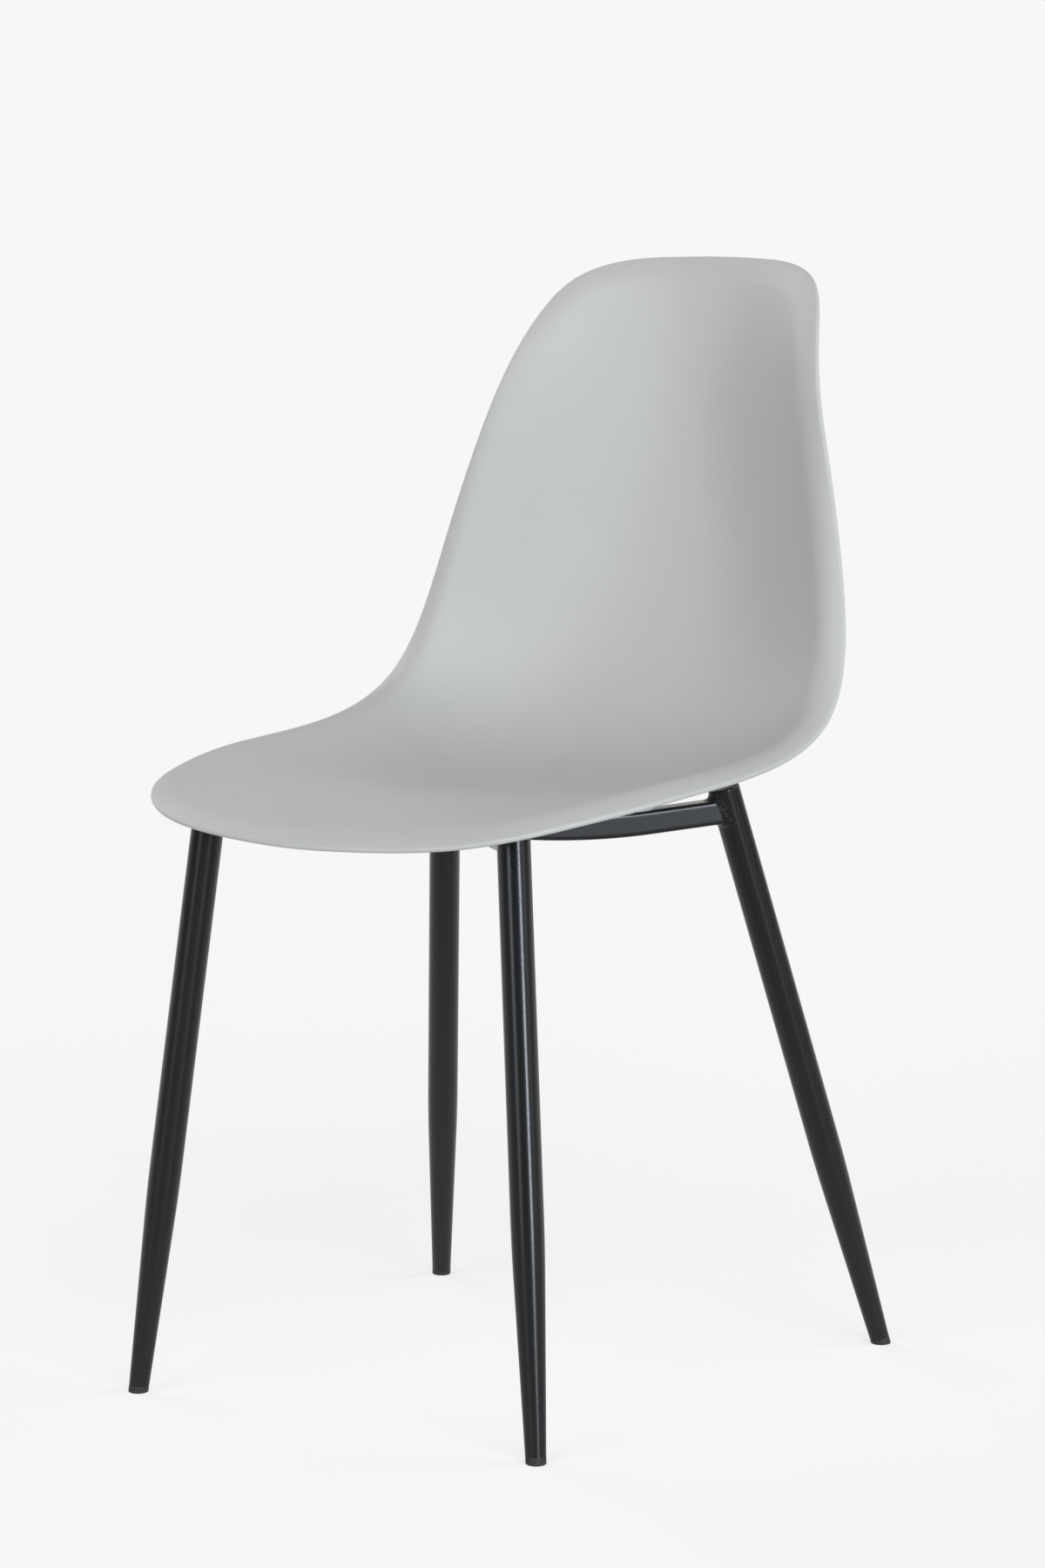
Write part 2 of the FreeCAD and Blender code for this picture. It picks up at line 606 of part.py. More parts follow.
def main():
    """Build and save every piece."""
    os.makedirs("parts", exist_ok=True)
    rear = Leg(REAR_FOOT, REAR_GUIDE, REAR_TOP_Z)
    front = Leg(FRONT_FOOT, FRONT_GUIDE, FRONT_TOP_Z)
    rail = Rail(rear, front)
    save("seat_shell", seat_shell(rail))

    for name, leg in (("rear", rear), ("front", front)):
        pieces = (("leg", leg.body()), ("leg_cap", leg.cap()), ("foot_glide", leg.glide()))
        for kind, piece in pieces:
            save(kind + "_" + name + "_right", piece)
            save(kind + "_" + name + "_left", mirror(piece))

    bars = [rear.envelope(), front.envelope()]
    bars += [mirror(bar) for bar in bars]
    grown_rail = rail.solid(-JOINT_CLEARANCE)
    through = biggest(rail.tube().cut(bars))
    save("cross_rail_through", through)
    halves = mirror(through).cut(rail.slab()).Solids
    halves.sort(key=lambda solid: solid.CenterOfMass.y)
    save("cross_rail_front_half", halves[0])
    save("cross_rail_rear_half", halves[-1])

    ends = (("rear", rear.at(RAIL_REAR_Z), rail.level, rail.up(True), REAR_WELD),
            ("front", rail.point(rail.span, RAIL_FRONT_Z), rail.level * -1, rail.up(False), FRONT_WELD))
    for name, at, level, up, rings in ends:
        outward = (level - up * level.dot(up)).normalize()
        bead = biggest(weld_bead(at, outward, up, rings).cut(bars + [grown_rail]))
        right = bead if name == "rear" else mirror(bead)
        save("weld_" + name + "_right", right)
        save("weld_" + name + "_left", mirror(right))
    save("cross_welds", cross_welds(rail))

    groups = (("seat_bolts", bolt()), ("seat_washers", washer()), ("seat_inserts", insert()))
    for node, one in groups:
        right = [rail.placed(one, at_rear) for at_rear in (True, False)]
        save(node, Part.Compound(right + [mirror(piece) for piece in right]))


main()
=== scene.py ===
"""A moulded plastic shell chair on four steel legs, dressed for a studio picture.

Sizes in the classes below are millimetres; MM turns them into the frame's metres.
The chair stands on the floor at z = 0, the sitter faces -Y and +X is the side seen
at the right from the front. Right and left in names follow that +X and -X.
"""

import logging
import math
from dataclasses import dataclass
from enum import Enum
from typing import Callable, Iterable, Sequence, Union

import bmesh
import bpy
import numpy as np
from mathutils import Matrix, Vector


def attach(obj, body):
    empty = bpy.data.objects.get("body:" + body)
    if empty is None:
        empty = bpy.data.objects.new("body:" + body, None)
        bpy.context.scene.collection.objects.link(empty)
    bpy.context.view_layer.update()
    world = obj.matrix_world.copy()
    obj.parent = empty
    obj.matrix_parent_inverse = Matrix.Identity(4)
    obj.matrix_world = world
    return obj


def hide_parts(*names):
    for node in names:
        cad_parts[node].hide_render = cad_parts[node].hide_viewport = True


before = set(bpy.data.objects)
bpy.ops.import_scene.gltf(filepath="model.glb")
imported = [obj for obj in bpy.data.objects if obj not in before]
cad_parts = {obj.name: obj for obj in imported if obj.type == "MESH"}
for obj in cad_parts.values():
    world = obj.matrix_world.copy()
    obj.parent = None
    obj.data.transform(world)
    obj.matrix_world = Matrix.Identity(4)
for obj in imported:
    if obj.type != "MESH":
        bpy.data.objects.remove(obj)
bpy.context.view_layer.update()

log = logging.getLogger("shell_chair")

MM = 0.001
BODY = "root"
UP = Vector((0.0, 0.0, 1.0))

BMesh = bmesh.types.BMesh
BMVert = bmesh.types.BMVert
BMEdge = bmesh.types.BMEdge
Material = bpy.types.Material
Object = bpy.types.Object
NodeTree = bpy.types.NodeTree
Socket = bpy.types.NodeSocket
SocketValue = Union[float, tuple, Socket]
Point = tuple[float, float]


class Slot(Enum):
    """Material slots of the record."""

    SHELL = "shell_plastic"
    FRAME = "frame_steel"
    GLIDE = "glide_plastic"
    PLATED = "plated_steel"
    BRASS = "insert_brass"


class Side(Enum):
    """Side of the chair, as the sign of X."""

    RIGHT = 1
    LEFT = -1

    @property
    def word(self) -> str:
        """The side's word in a node's name."""
        return self.name.lower()


def linear(colour: str) -> tuple[float, float, float, float]:
    """Turn an sRGB hex colour into Blender's linear RGBA.

    Args:
        colour: six hex digits, such as "b9bab9".

    Returns:
        Red, green, blue and an alpha of 1.
    """
    values = [int(colour[i:i + 2], 16) / 255 for i in (0, 2, 4)]
    channels = [v / 12.92 if v <= 0.04045 else ((v + 0.055) / 1.055) ** 2.4 for v in values]
    return (*channels, 1.0)


def add_node(tree: NodeTree, kind: str, settings: dict[str, object] | None = None,
             inputs: dict[str | int, SocketValue] | None = None) -> bpy.types.Node:
    """Add a node with its settings and its inputs.

    Args:
        tree: node tree that takes the node.
        kind: Blender's name of the node type.
        settings: attributes of the node, by name.
        inputs: for each input, by name or number, a constant or the socket that feeds it.

    Returns:
        The new node.
    """
    node = tree.nodes.new(kind)
    for name, value in (settings or {}).items():
        setattr(node, name, value)
    for name, value in (inputs or {}).items():
        if isinstance(value, Socket):
            tree.links.new(value, node.inputs[name])
        else:
            node.inputs[name].default_value = value
    return node


class Recipe:
    """Node tree of one material, with its patterns on the object's own coordinates."""

    def __init__(self, name: str) -> None:
        """Start an empty node material.

        Args:
            name: name of the material.
        """
        self.material = bpy.data.materials.new(name)
        self.material.use_nodes = True
        self.tree = self.material.node_tree
        self.tree.nodes.clear()
        self.output = add_node(self.tree, "ShaderNodeOutputMaterial")
        self.place = add_node(self.tree, "ShaderNodeTexCoord").outputs["Object"]

    def noise(self, size: float, detail: float, roughness: float = 0.5) -> Socket:
        """Noise pattern.

        Args:
            size: size of its spots in millimetres.
            detail: how many finer layers it has.
            roughness: how strong the finer layers are.

        Returns:
            The pattern, 0 to 1.
        """
        return add_node(self.tree, "ShaderNodeTexNoise", {}, {
            "Vector": self.place, "Scale": 1 / (size * MM), "Detail": detail,
            "Roughness": roughness}).outputs["Fac"]

    def blend(self, factor: Socket, first: SocketValue, second: SocketValue) -> Socket:
        """Colour between two colours, the second one where the factor is 1."""
        return add_node(self.tree, "ShaderNodeMix", {"data_type": "RGBA"}, {
            "Factor": factor, 6: first, 7: second}).outputs[2]

    def ranged(self, value: Socket, low: float, high: float, start: float = 0.0, end: float = 1.0) -> Socket:
        """Value that goes from low to high while another goes from start to end."""
        return add_node(self.tree, "ShaderNodeMapRange", {}, {
            "Value": value, "From Min": start, "From Max": end, "To Min": low,
            "To Max": high}).outputs["Result"]

    def uneven(self, pattern: Socket, middle: float, spread: float) -> Socket:
        """Value that a pattern moves up and down from its middle."""
        return self.ranged(pattern, middle - spread, middle + spread)

    def relief(self, height: Socket, depth: float, **under: Socket) -> Socket:
        """Normals of a pattern pressed into the surface.

        Args:
            height: the pattern.
            depth: its depth in millimetres.
            under: Normal, the normals of a coarser relief that it lies on.

        Returns:
            The normals.
        """
        return add_node(self.tree, "ShaderNodeBump", {}, {
            "Height": height, "Distance": depth * MM, "Strength": 1.0, **under}).outputs["Normal"]

    def closed(self, inputs: dict[str, SocketValue]) -> Material:
        """Close the material with a principled shader.

        Args:
            inputs: inputs of the shader by name.

        Returns:
            The finished material.
        """
        shader = add_node(self.tree, "ShaderNodeBsdfPrincipled", {}, inputs)
        self.tree.links.new(shader.outputs["BSDF"], self.output.inputs["Surface"])
        return self.material


@dataclass(frozen=True)
class MouldedPolypropylene:
    """Grey polypropylene, injection moulded against a finely eroded tool.

    The eroded tool leaves a fine even grain that spreads the highlights into a satin
    sheen. Slow cooling leaves very shallow waves and a faint cloudiness of the pigment.
    """

    name: str = "moulded_polypropylene"
    colour: str = "bec0bf"
    cloud_colour: str = "b7b9b7"
    roughness: float = 0.5
    unevenness: float = 0.05
    ior: float = 1.49
    cloud_size: float = 160.0
    grain_size: float = 0.9
    grain_height: float = 0.02
    wave_size: float = 60.0
    wave_height: float = 0.05

    def material(self) -> Material:
        """Make the material."""
        recipe = Recipe(self.name)
        clouds = recipe.noise(self.cloud_size, 3.0)
        waves = recipe.relief(recipe.noise(self.wave_size, 1.0), self.wave_height)
        # The real grain is about 0.1 mm across; it is drawn coarser so that it shows
        grain = recipe.noise(self.grain_size, 2.0)
        return recipe.closed({
            "Base Color": recipe.blend(clouds, linear(self.colour), linear(self.cloud_colour)),
            "Roughness": recipe.uneven(grain, self.roughness, self.unevenness),
            "IOR": self.ior,
            "Normal": recipe.relief(grain, self.grain_height, Normal=waves)})


@dataclass(frozen=True)
class PowderCoat:
    """Black polyester powder, sprayed on steel and baked.

    The powder melts into a satin skin with a shallow orange peel and a fine speckle.
    On welds it lies thin in patches, where the grey of the seam shows.
    """

    name: str = "satin_powder_coat"
    colour: str = "0f1011"
    speckle_colour: str = "161718"
    roughness: float = 0.25
    unevenness: float = 0.06
    specular: float = 0.45
    ior: float = 1.5
    peel_size: float = 2.2
    peel_height: float = 0.02
    speckle_size: float = 0.7
    worn: float = 0.0
    worn_colour: str = "8d9196"
    worn_size: float = 2.4
    worn_edge: Point = (0.56, 0.72)

    def material(self) -> Material:
        """Make the material."""
        recipe = Recipe(self.name)
        speckle = recipe.noise(self.speckle_size, 2.0)
        colour = recipe.blend(speckle, linear(self.colour), linear(self.speckle_colour))
        if self.worn:
            patches = recipe.ranged(recipe.noise(self.worn_size, 5.0, 0.7), 0.0, self.worn, *self.worn_edge)
            colour = recipe.blend(patches, colour, linear(self.worn_colour))
        peel = recipe.relief(recipe.noise(self.peel_size, 2.0), self.peel_height)
        return recipe.closed({
            "Base Color": colour,
            "Roughness": recipe.uneven(speckle, self.roughness, self.unevenness),
            "IOR": self.ior,
            "Specular IOR Level": self.specular,
            "Normal": recipe.relief(speckle, self.peel_height / 2, Normal=peel)})


@dataclass(frozen=True)
class MouldedNylon:
    """Black nylon, injection moulded, for the glides: duller than the coat, lightly scuffed below."""

    name: str = "moulded_nylon"
    colour: str = "222222"
    scuff_colour: str = "3a3a39"
    roughness: float = 0.55
    unevenness: float = 0.06
    ior: float = 1.53
    scuff_size: float = 1.6
    scuff_reach: float = 2.5
    scuff_depth: float = 0.02

    def material(self) -> Material:
        """Make the material."""
        recipe = Recipe(self.name)
        height = add_node(recipe.tree, "ShaderNodeSeparateXYZ", {}, {"Vector": recipe.place}).outputs["Z"]
        low = recipe.ranged(height, 1.0, 0.0, 0.0, self.scuff_reach * MM)
        spots = recipe.noise(self.scuff_size, 4.0)
        scuffs = add_node(recipe.tree, "ShaderNodeMath", {"operation": "MULTIPLY"}, {
            0: low, 1: spots}).outputs["Value"]
        return recipe.closed({
            "Base Color": recipe.blend(scuffs, linear(self.colour), linear(self.scuff_colour)),
            "Roughness": recipe.uneven(spots, self.roughness, self.unevenness),
            "IOR": self.ior,
            "Normal": recipe.relief(spots, self.scuff_depth)})


@dataclass(frozen=True)
class BareMetal:
    """Metal without paint: zinc plate on cold headed steel, or turned brass.

    Plating is bright with a faintly mottled dullness; turned brass is mottled more finely.
    """

    name: str
    colour: str
    dull_colour: str
    roughness: float
    mottle_size: float
    polished: float = 0.08
    dulled: float = 0.12

    def material(self) -> Material:
        """Make the material."""
        recipe = Recipe(self.name)
        mottle = recipe.noise(self.mottle_size, 4.0)
        return recipe.closed({
            "Base Color": recipe.blend(mottle, linear(self.colour), linear(self.dull_colour)),
            "Roughness": recipe.ranged(mottle, self.roughness - self.polished, self.roughness + self.dulled),
            "Metallic": 1.0})


@dataclass
class Finishes:
    """The finished materials, one for each kind of surface."""

    shell: Material
    coat: Material
    weld: Material
    glide: Material
    plated: Material
    brass: Material

    @classmethod
    def make(cls) -> "Finishes":
        """Make every material once."""
        return cls(
            shell=MouldedPolypropylene().material(),
            coat=PowderCoat().material(),
            weld=PowderCoat(name="coated_weld", roughness=0.34, peel_size=1.6, peel_height=0.15,
                            worn=0.5).material(),
            glide=MouldedNylon().material(),
            plated=BareMetal("zinc_plated_steel", "c9cacb", "a9abad", 0.3, 3.0).material(),
            brass=BareMetal("turned_brass", "d8b878", "b99a5c", 0.32, 2.0).material(),
        )


def stored(mesh: BMesh, name: str) -> bpy.types.Mesh:
    """Turn a bmesh into mesh data and free it."""
    data = bpy.data.meshes.new(name)
    mesh.to_mesh(data)
    mesh.free()
    return data


def in_scene(name: str, data: bpy.types.ID) -> Object:
    """Put a new object with its data into the scene."""
    thing = bpy.data.objects.new(name, data)
    bpy.context.scene.collection.objects.link(thing)
    return thing


def finish_piece(mesh: BMesh, name: str, material: Material, nodes: Sequence[str],
                 crisp: float = 35.0) -> None:
    """Turn a finished bmesh into a piece that stands for CAD nodes.

    Args:
        mesh: mesh in millimetres, in the chair's own frame; it is freed.
        name: name of the piece.
        material: finish of the piece.
        nodes: CAD nodes that the piece stands for.
        crisp: smallest angle in degrees at which an edge stays crisp in the shading.
    """
    bmesh.ops.scale(mesh, vec=(MM, MM, MM), verts=mesh.verts)
    for face in mesh.faces:
        face.smooth = True
    data = stored(mesh, name)
    data.materials.append(material)
    data.set_sharp_from_angle(angle=math.radians(crisp))
    piece = in_scene(name, data)
    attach(piece, BODY)
    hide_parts(*nodes)
    log.info("%s: %d faces", name, len(data.polygons))


def spun(profile: Sequence[Point], steps: int = 64, closed: bool = False) -> BMesh:
    """Turn a profile once round Z.

    Args:
        profile: (radius, height) points; a radius of 0 closes the form at a pole.
        steps: number of steps in the turn.
        closed: whether the profile's ends are joined too.

    Returns:
        The turned form, with its faces outwards.
    """
    mesh = bmesh.new()
    points = [mesh.verts.new((radius, 0.0, height)) for radius, height in profile]
    edges = [mesh.edges.new(pair) for pair in zip(points, points[1:])]
    if closed:
        edges.append(mesh.edges.new((points[-1], points[0])))
    bmesh.ops.spin(mesh, geom=points + edges, cent=(0, 0, 0), axis=(0, 0, 1), dvec=(0, 0, 0),
                   angle=math.tau, steps=steps, use_merge=True, use_normal_flip=False,
                   use_duplicate=False)
    bmesh.ops.remove_doubles(mesh, verts=mesh.verts, dist=1e-4)
    bmesh.ops.recalc_face_normals(mesh, faces=mesh.faces)
    return mesh


def rounded(centre: Point, radius: float, start: float, end: float, steps: int = 6) -> list[Point]:
    """Points of an arc in a profile.

    Args:
        centre: centre of the arc.
        radius: its radius.
        start: first angle in degrees.
        end: last angle in degrees.
        steps: number of steps.

    Returns:
        The points, with both ends.
    """
    angles = [math.radians(start + (end - start) * i / steps) for i in range(steps + 1)]
    return [(centre[0] + radius * math.cos(a), centre[1] + radius * math.sin(a)) for a in angles]


def joined(meshes: Iterable[BMesh]) -> BMesh:
    """Put several meshes into one.

    Args:
        meshes: meshes to join; they are freed.

    Returns:
        The joined mesh.
    """
    whole = bmesh.new()
    for mesh in meshes:
        part = stored(mesh, "part")
        whole.from_mesh(part)
        bpy.data.meshes.remove(part)
    return whole


def extruded(mesh: BMesh, edges: Sequence[BMEdge]) -> tuple[list[BMVert], list[BMEdge]]:
    """Extrude edges without moving them.

    Args:
        mesh: mesh that holds the edges.
        edges: edges to extrude.

    Returns:
        The new vertices and the new edges.
    """
    grown = bmesh.ops.extrude_edge_only(mesh, edges=edges)["geom"]
    return ([item for item in grown if isinstance(item, BMVert)],
            [item for item in grown if isinstance(item, BMEdge)])


def bored(mesh: BMesh, cutters: BMesh) -> BMesh:
    """Cut closed forms out of a closed mesh.

    Args:
        mesh: mesh to cut; it is freed.
        cutters: the forms to take away; they are freed.

    Returns:
        The mesh with its holes.
    """
    whole = in_scene("whole", stored(mesh, "whole"))
    taken = in_scene("cutters", stored(cutters, "cutters"))
    cut = whole.modifiers.new("cut", "BOOLEAN")
    cut.operation = "DIFFERENCE"
    cut.solver = "EXACT"
    cut.object = taken
    result = bpy.data.meshes.new_from_object(whole.evaluated_get(bpy.context.evaluated_depsgraph_get()))
    holed = bmesh.new()
    holed.from_mesh(result)
    bpy.data.meshes.remove(result)
    for form in (whole, taken):
        data = form.data
        bpy.data.objects.remove(form)
        bpy.data.meshes.remove(data)
    return holed


class SmoothLine:
    """Natural cubic spline through (place, value) points, straight beyond its ends."""

    def __init__(self, points: Sequence[Point]) -> None:
        """Fit the spline.

        Args:
            points: (place, value) points in order of place.
        """
        self.places, self.values = np.array(points, dtype=float).T
        self.steps = np.diff(self.places)
        self.slopes = np.diff(self.values) / self.steps
        matrix = np.eye(len(points))
        load = np.zeros(len(points))
        for i in range(1, len(points) - 1):
            before, after = self.steps[i - 1], self.steps[i]
            matrix[i, i - 1:i + 2] = before, 2 * (before + after), after
            load[i] = 6 * (self.slopes[i] - self.slopes[i - 1])
        self.bends = np.linalg.solve(matrix, load)

    def __call__(self, place: float) -> float:
        """Value at a place."""
        if place <= self.places[0]:
            slope = self.slopes[0] - self.steps[0] * self.bends[1] / 6
            return float(self.values[0] + slope * (place - self.places[0]))
        if place >= self.places[-1]:
            slope = self.slopes[-1] + self.steps[-1] * self.bends[-2] / 6
            return float(self.values[-1] + slope * (place - self.places[-1]))
        i = int(np.searchsorted(self.places, place, side="right")) - 1
        step = self.steps[i]
        past = place - self.places[i]
        left = self.places[i + 1] - place
        curved = (self.bends[i] * left ** 3 + self.bends[i + 1] * past ** 3) / (6 * step)
        low = self.values[i] / step - self.bends[i] * step / 6
        high = self.values[i + 1] / step - self.bends[i + 1] * step / 6
        return float(curved + low * left + high * past)

    def change(self, place: float, reach: float = 0.05) -> float:
        """Change of the value over a short reach before and after a place."""
        return self(place + reach) - self(place - reach)


def distances(points: Sequence[Point]) -> list[float]:
    """Distances along the straight steps between points, from the first point."""
    total = [0.0]
    for a, b in zip(points, points[1:]):
        total.append(total[-1] + math.hypot(b[0] - a[0], b[1] - a[1]))
    return total


@dataclass
class SeatShell:
    """The one-piece plastic shell with its outward rolled edge and its four bosses."""

    thickness: float = 4.5
    flange_width: float = 25.0
    flange_power: float = 1.7
    edge_radius: float = 2.2
    middle: float = 400.0
    half_grid: int = 56
    flange_rings: int = 7
    edge_segments: int = 5
    boss_radius: float = 10.5
    boss_edge: float = 0.5
    root_radius: float = 11.3
    root_fillet: float = 3.0
    root_sunk: float = 3.4
    bore: float = 4.3
    bore_depth: float = 9.5
    bore_mouth: float = 5.25
    mouth_depth: float = 0.85

    # Middle of the shell from the front lip over the pan to the top, as (y, z)
    middle_line: tuple[Point, ...] = (
        (-291.5, 455.0), (-254.5, 460.5), (-207.5, 465.5), (-157.5, 466.5), (-102.5, 463.5),
        (-47.5, 458.5), (7.5, 455.0), (57.5, 455.5), (105.5, 463.0), (149.5, 482.0),
        (185.5, 518.0), (210.5, 570.0), (228.5, 632.0), (246.5, 704.0), (263.5, 776.0),
        (278.5, 838.0), (287.5, 873.0),
    )
    # Edge of the shell, as (half width, distance along the middle line)
    edge_line: tuple[Point, ...] = (
        (0.0, -4.5), (48.0, 0.5), (95.0, 9.5), (139.0, 24.0), (173.0, 49.0),
        (197.0, 86.0), (212.0, 130.0), (220.5, 179.0), (223.0, 240.0), (221.0, 322.0),
        (214.5, 425.0), (206.0, 515.0), (191.5, 599.0), (170.5, 683.0), (149.0, 756.0),
        (135.0, 801.0), (114.0, 839.5), (80.0, 858.0), (40.0, 864.0), (0.0, 865.5),
    )
    # Depth of the bowl at its sides, as (distance along the middle line, depth)
    bowl_depth: tuple[Point, ...] = (
        (0.0, 25.0), (110.0, 26.0), (220.0, 43.2), (330.0, 58.7), (440.0, 66.7),
        (550.0, 67.7), (700.0, 77.2), (770.0, 70.7), (868.0, 40.0),
    )
    # Half width at which that depth is reached
    bowl_half_width: tuple[Point, ...] = (
        (0.0, 226.0), (240.0, 232.0), (425.0, 219.0), (600.0, 194.0), (685.0, 173.0),
        (757.0, 151.0), (868.0, 138.0),
    )
    # How late the bowl turns up towards its sides
    bowl_power: tuple[Point, ...] = ((0.0, 3.2), (250.0, 2.9), (500.0, 2.5), (868.0, 2.3))
    # How far the rolled edge turns away from the bowl
    flange_drop: tuple[Point, ...] = (
        (0.0, 8.3), (110.0, 12.5), (220.0, 17.0), (330.0, 18.0), (700.0, 17.0), (770.0, 15.0), (868.0, 8.3),
    )

    def __post_init__(self) -> None:
        """Fit the smooth lines."""
        along = distances(self.middle_line)
        self.middle_y = SmoothLine([(s, y) for s, (y, _) in zip(along, self.middle_line)])
        self.middle_z = SmoothLine([(s, z) for s, (_, z) in zip(along, self.middle_line)])
        self.depth_at = SmoothLine(self.bowl_depth)
        self.half_width_at = SmoothLine(self.bowl_half_width)
        self.power_at = SmoothLine(self.bowl_power)
        self.drop_at = SmoothLine(self.flange_drop)
        opposite = [(-x, s) for x, s in reversed(self.edge_line)]
        loop = opposite[:-1] + list(self.edge_line) + opposite[1:]
        loop_along = distances(loop)
        self.edge_x = SmoothLine([(e, x) for e, (x, _) in zip(loop_along, loop)])
        self.edge_s = SmoothLine([(e, s) for e, (_, s) in zip(loop_along, loop)])
        self.edge_start = loop_along[len(self.edge_line) - 1]
        self.edge_end = loop_along[2 * len(self.edge_line) - 2]

    def middle_up(self, s: float) -> Vector:
        """Direction at a right angle to the middle line, towards the sitter."""
        return Vector((0.0, -self.middle_z.change(s), self.middle_y.change(s))).normalized()

    def bowl_point(self, x: float, s: float) -> Vector:
        """Point half way through the wall, without the rolled flange."""
        reach = abs(x) / self.half_width_at(s)
        depth = self.depth_at(s) * reach ** self.power_at(s)
        return Vector((x, self.middle_y(s), self.middle_z(s))) + self.middle_up(s) * depth

    def edge_place(self, turn: float, inward: float) -> Point:
        """Place (x, s) at a distance inward from the edge.

        Args:
            turn: way round the edge from the front, -0.5 at the left to 0.5 at the right of the top.
            inward: distance from the edge.

        Returns:
            Half width and distance along the middle line.
        """
        e = self.edge_start + 2 * abs(turn) * (self.edge_end - self.edge_start)
        dx, ds = self.edge_x.change(e), self.edge_s.change(e)
        length = math.hypot(dx, ds)
        x = self.edge_x(e) - ds / length * inward
        return math.copysign(x, turn), self.edge_s(e) + dx / length * inward

    def flange_point(self, turn: float, inward: float) -> Vector:
        """Point half way through the wall near the edge, with the rolled flange."""
        x, s = self.edge_place(turn, inward)
        rest = max(0.0, 1.0 - inward / self.flange_width)
        return self.bowl_point(x, s) - self.middle_up(s) * (self.drop_at(s) * rest ** self.flange_power)

    def pan_point(self, turn: float, share: float) -> Vector:
        """Point half way through the wall, at a share of the way from the middle to the flange."""
        x, s = self.edge_place(turn, self.flange_width)
        return self.bowl_point(x * share, self.middle + (s - self.middle) * share)

    @staticmethod
    def square_turn(u: float, v: float) -> float:
        """Way round a square from the middle of its lower side, -0.5 to 0.5.

        Args:
            u: place across the square.
            v: place up the square.

        Returns:
            The way round, positive at the right.
        """
        reach = max(abs(u), abs(v))
        if reach == 0.0:
            return 0.0
        u, v = u / reach, v / reach
        if v <= -1.0 + 1e-6:
            return u / 8
        if v >= 1.0 - 1e-6:
            return math.copysign(0.5 - abs(u) / 8, u)
        return math.copysign(0.25 + v / 8, u)

    def wall(self) -> BMesh:
        """The shell's wall: a shaped sheet, thickened, with a rounded edge."""
        mesh = bmesh.new()
        segments = 2 * self.half_grid
        bmesh.ops.create_grid(mesh, x_segments=segments, y_segments=segments, size=1.0)
        turn = mesh.verts.layers.float.new("turn")
        for vert in mesh.verts:
            share = max(abs(vert.co.x), abs(vert.co.y))
            vert[turn] = self.square_turn(vert.co.x, vert.co.y)
            vert.co = self.pan_point(vert[turn], share)
        for ring in range(1, self.flange_rings + 1):
            inward = self.flange_width * (1 - ring / self.flange_rings)
            rim = [edge for edge in mesh.edges if edge.is_boundary]
            for vert in extruded(mesh, rim)[0]:
                vert.co = self.flange_point(vert[turn], inward)
        bmesh.ops.recalc_face_normals(mesh, faces=mesh.faces)
        mesh.normal_update()
        middle = min(mesh.verts, key=lambda vert: (vert.co - self.bowl_point(0.0, self.middle)).length)
        if middle.normal.dot(self.middle_up(self.middle)) < 0:
            bmesh.ops.reverse_faces(mesh, faces=mesh.faces)
            mesh.normal_update()
        for vert in mesh.verts:
            vert.co += vert.normal * (self.thickness / 2)
        bmesh.ops.solidify(mesh, geom=mesh.faces[:], thickness=self.thickness)
        rim = [edge for edge in mesh.edges if edge.calc_face_angle(0.0) > math.radians(60)]
        bmesh.ops.bevel(mesh, geom=rim, offset=self.edge_radius, segments=self.edge_segments,
                        profile=0.5, affect="EDGES", clamp_overlap=True, material=-1)
        bmesh.ops.recalc_face_normals(mesh, faces=mesh.faces)
        return mesh

    def underside(self, x: float, y: float) -> float:
        """Height of the shell's underside over a place in the pan."""
        low, high = 0.0, self.middle
        for _ in range(40):
            s = (low + high) / 2
            if self.bowl_point(x, s).y < y:
                low = s
            else:
                high = s
        return self.bowl_point(x, low).z - self.thickness / 2

    def boss(self, foot: Vector, up: Vector) -> BMesh:
        """One boss: it stands on a rail, is bored for an insert and flares into the wall.

        Args:
            foot: middle of its foot on top of the rail.
            up: direction of its axis.

        Returns:
            The closed boss; its root ends inside the wall.
        """
        # Radius, share of the way up to the shell, and height over that share
        profile = [(0.0, 0.0, self.bore_depth), (self.bore, 0.0, self.bore_depth),
                   (self.bore, 0.0, self.mouth_depth), (self.bore_mouth, 0.0, self.mouth_depth),
                   (self.bore_mouth, 0.0, 0.0)]
        edge = self.boss_edge
        profile += [(r, 0.0, h) for r, h in rounded((self.boss_radius - edge, edge), edge, -90, 0, 3)]
        for angle in range(0, 91, 15):
            out, back = 1 - math.cos(math.radians(angle)), 1 - math.sin(math.radians(angle))
            profile.append((self.root_radius + self.root_fillet * out, 1.0, -self.root_fillet * back))
        profile += [(self.root_radius + self.root_fillet, 1.0, self.root_sunk), (0.0, 1.0, self.root_sunk)]
        mesh = spun([(radius, float(i)) for i, (radius, _, _) in enumerate(profile)])
        turn = UP.rotation_difference(up).to_matrix()
        for vert in mesh.verts:
            _, share, over = profile[round(vert.co.z)]
            place = foot + turn @ Vector((vert.co.x, vert.co.y, 0.0))
            reach = (self.underside(place.x, place.y) - place.z) / up.z
            vert.co = place + up * (share * reach + over)
        bmesh.ops.recalc_face_normals(mesh, faces=mesh.faces)
        return mesh


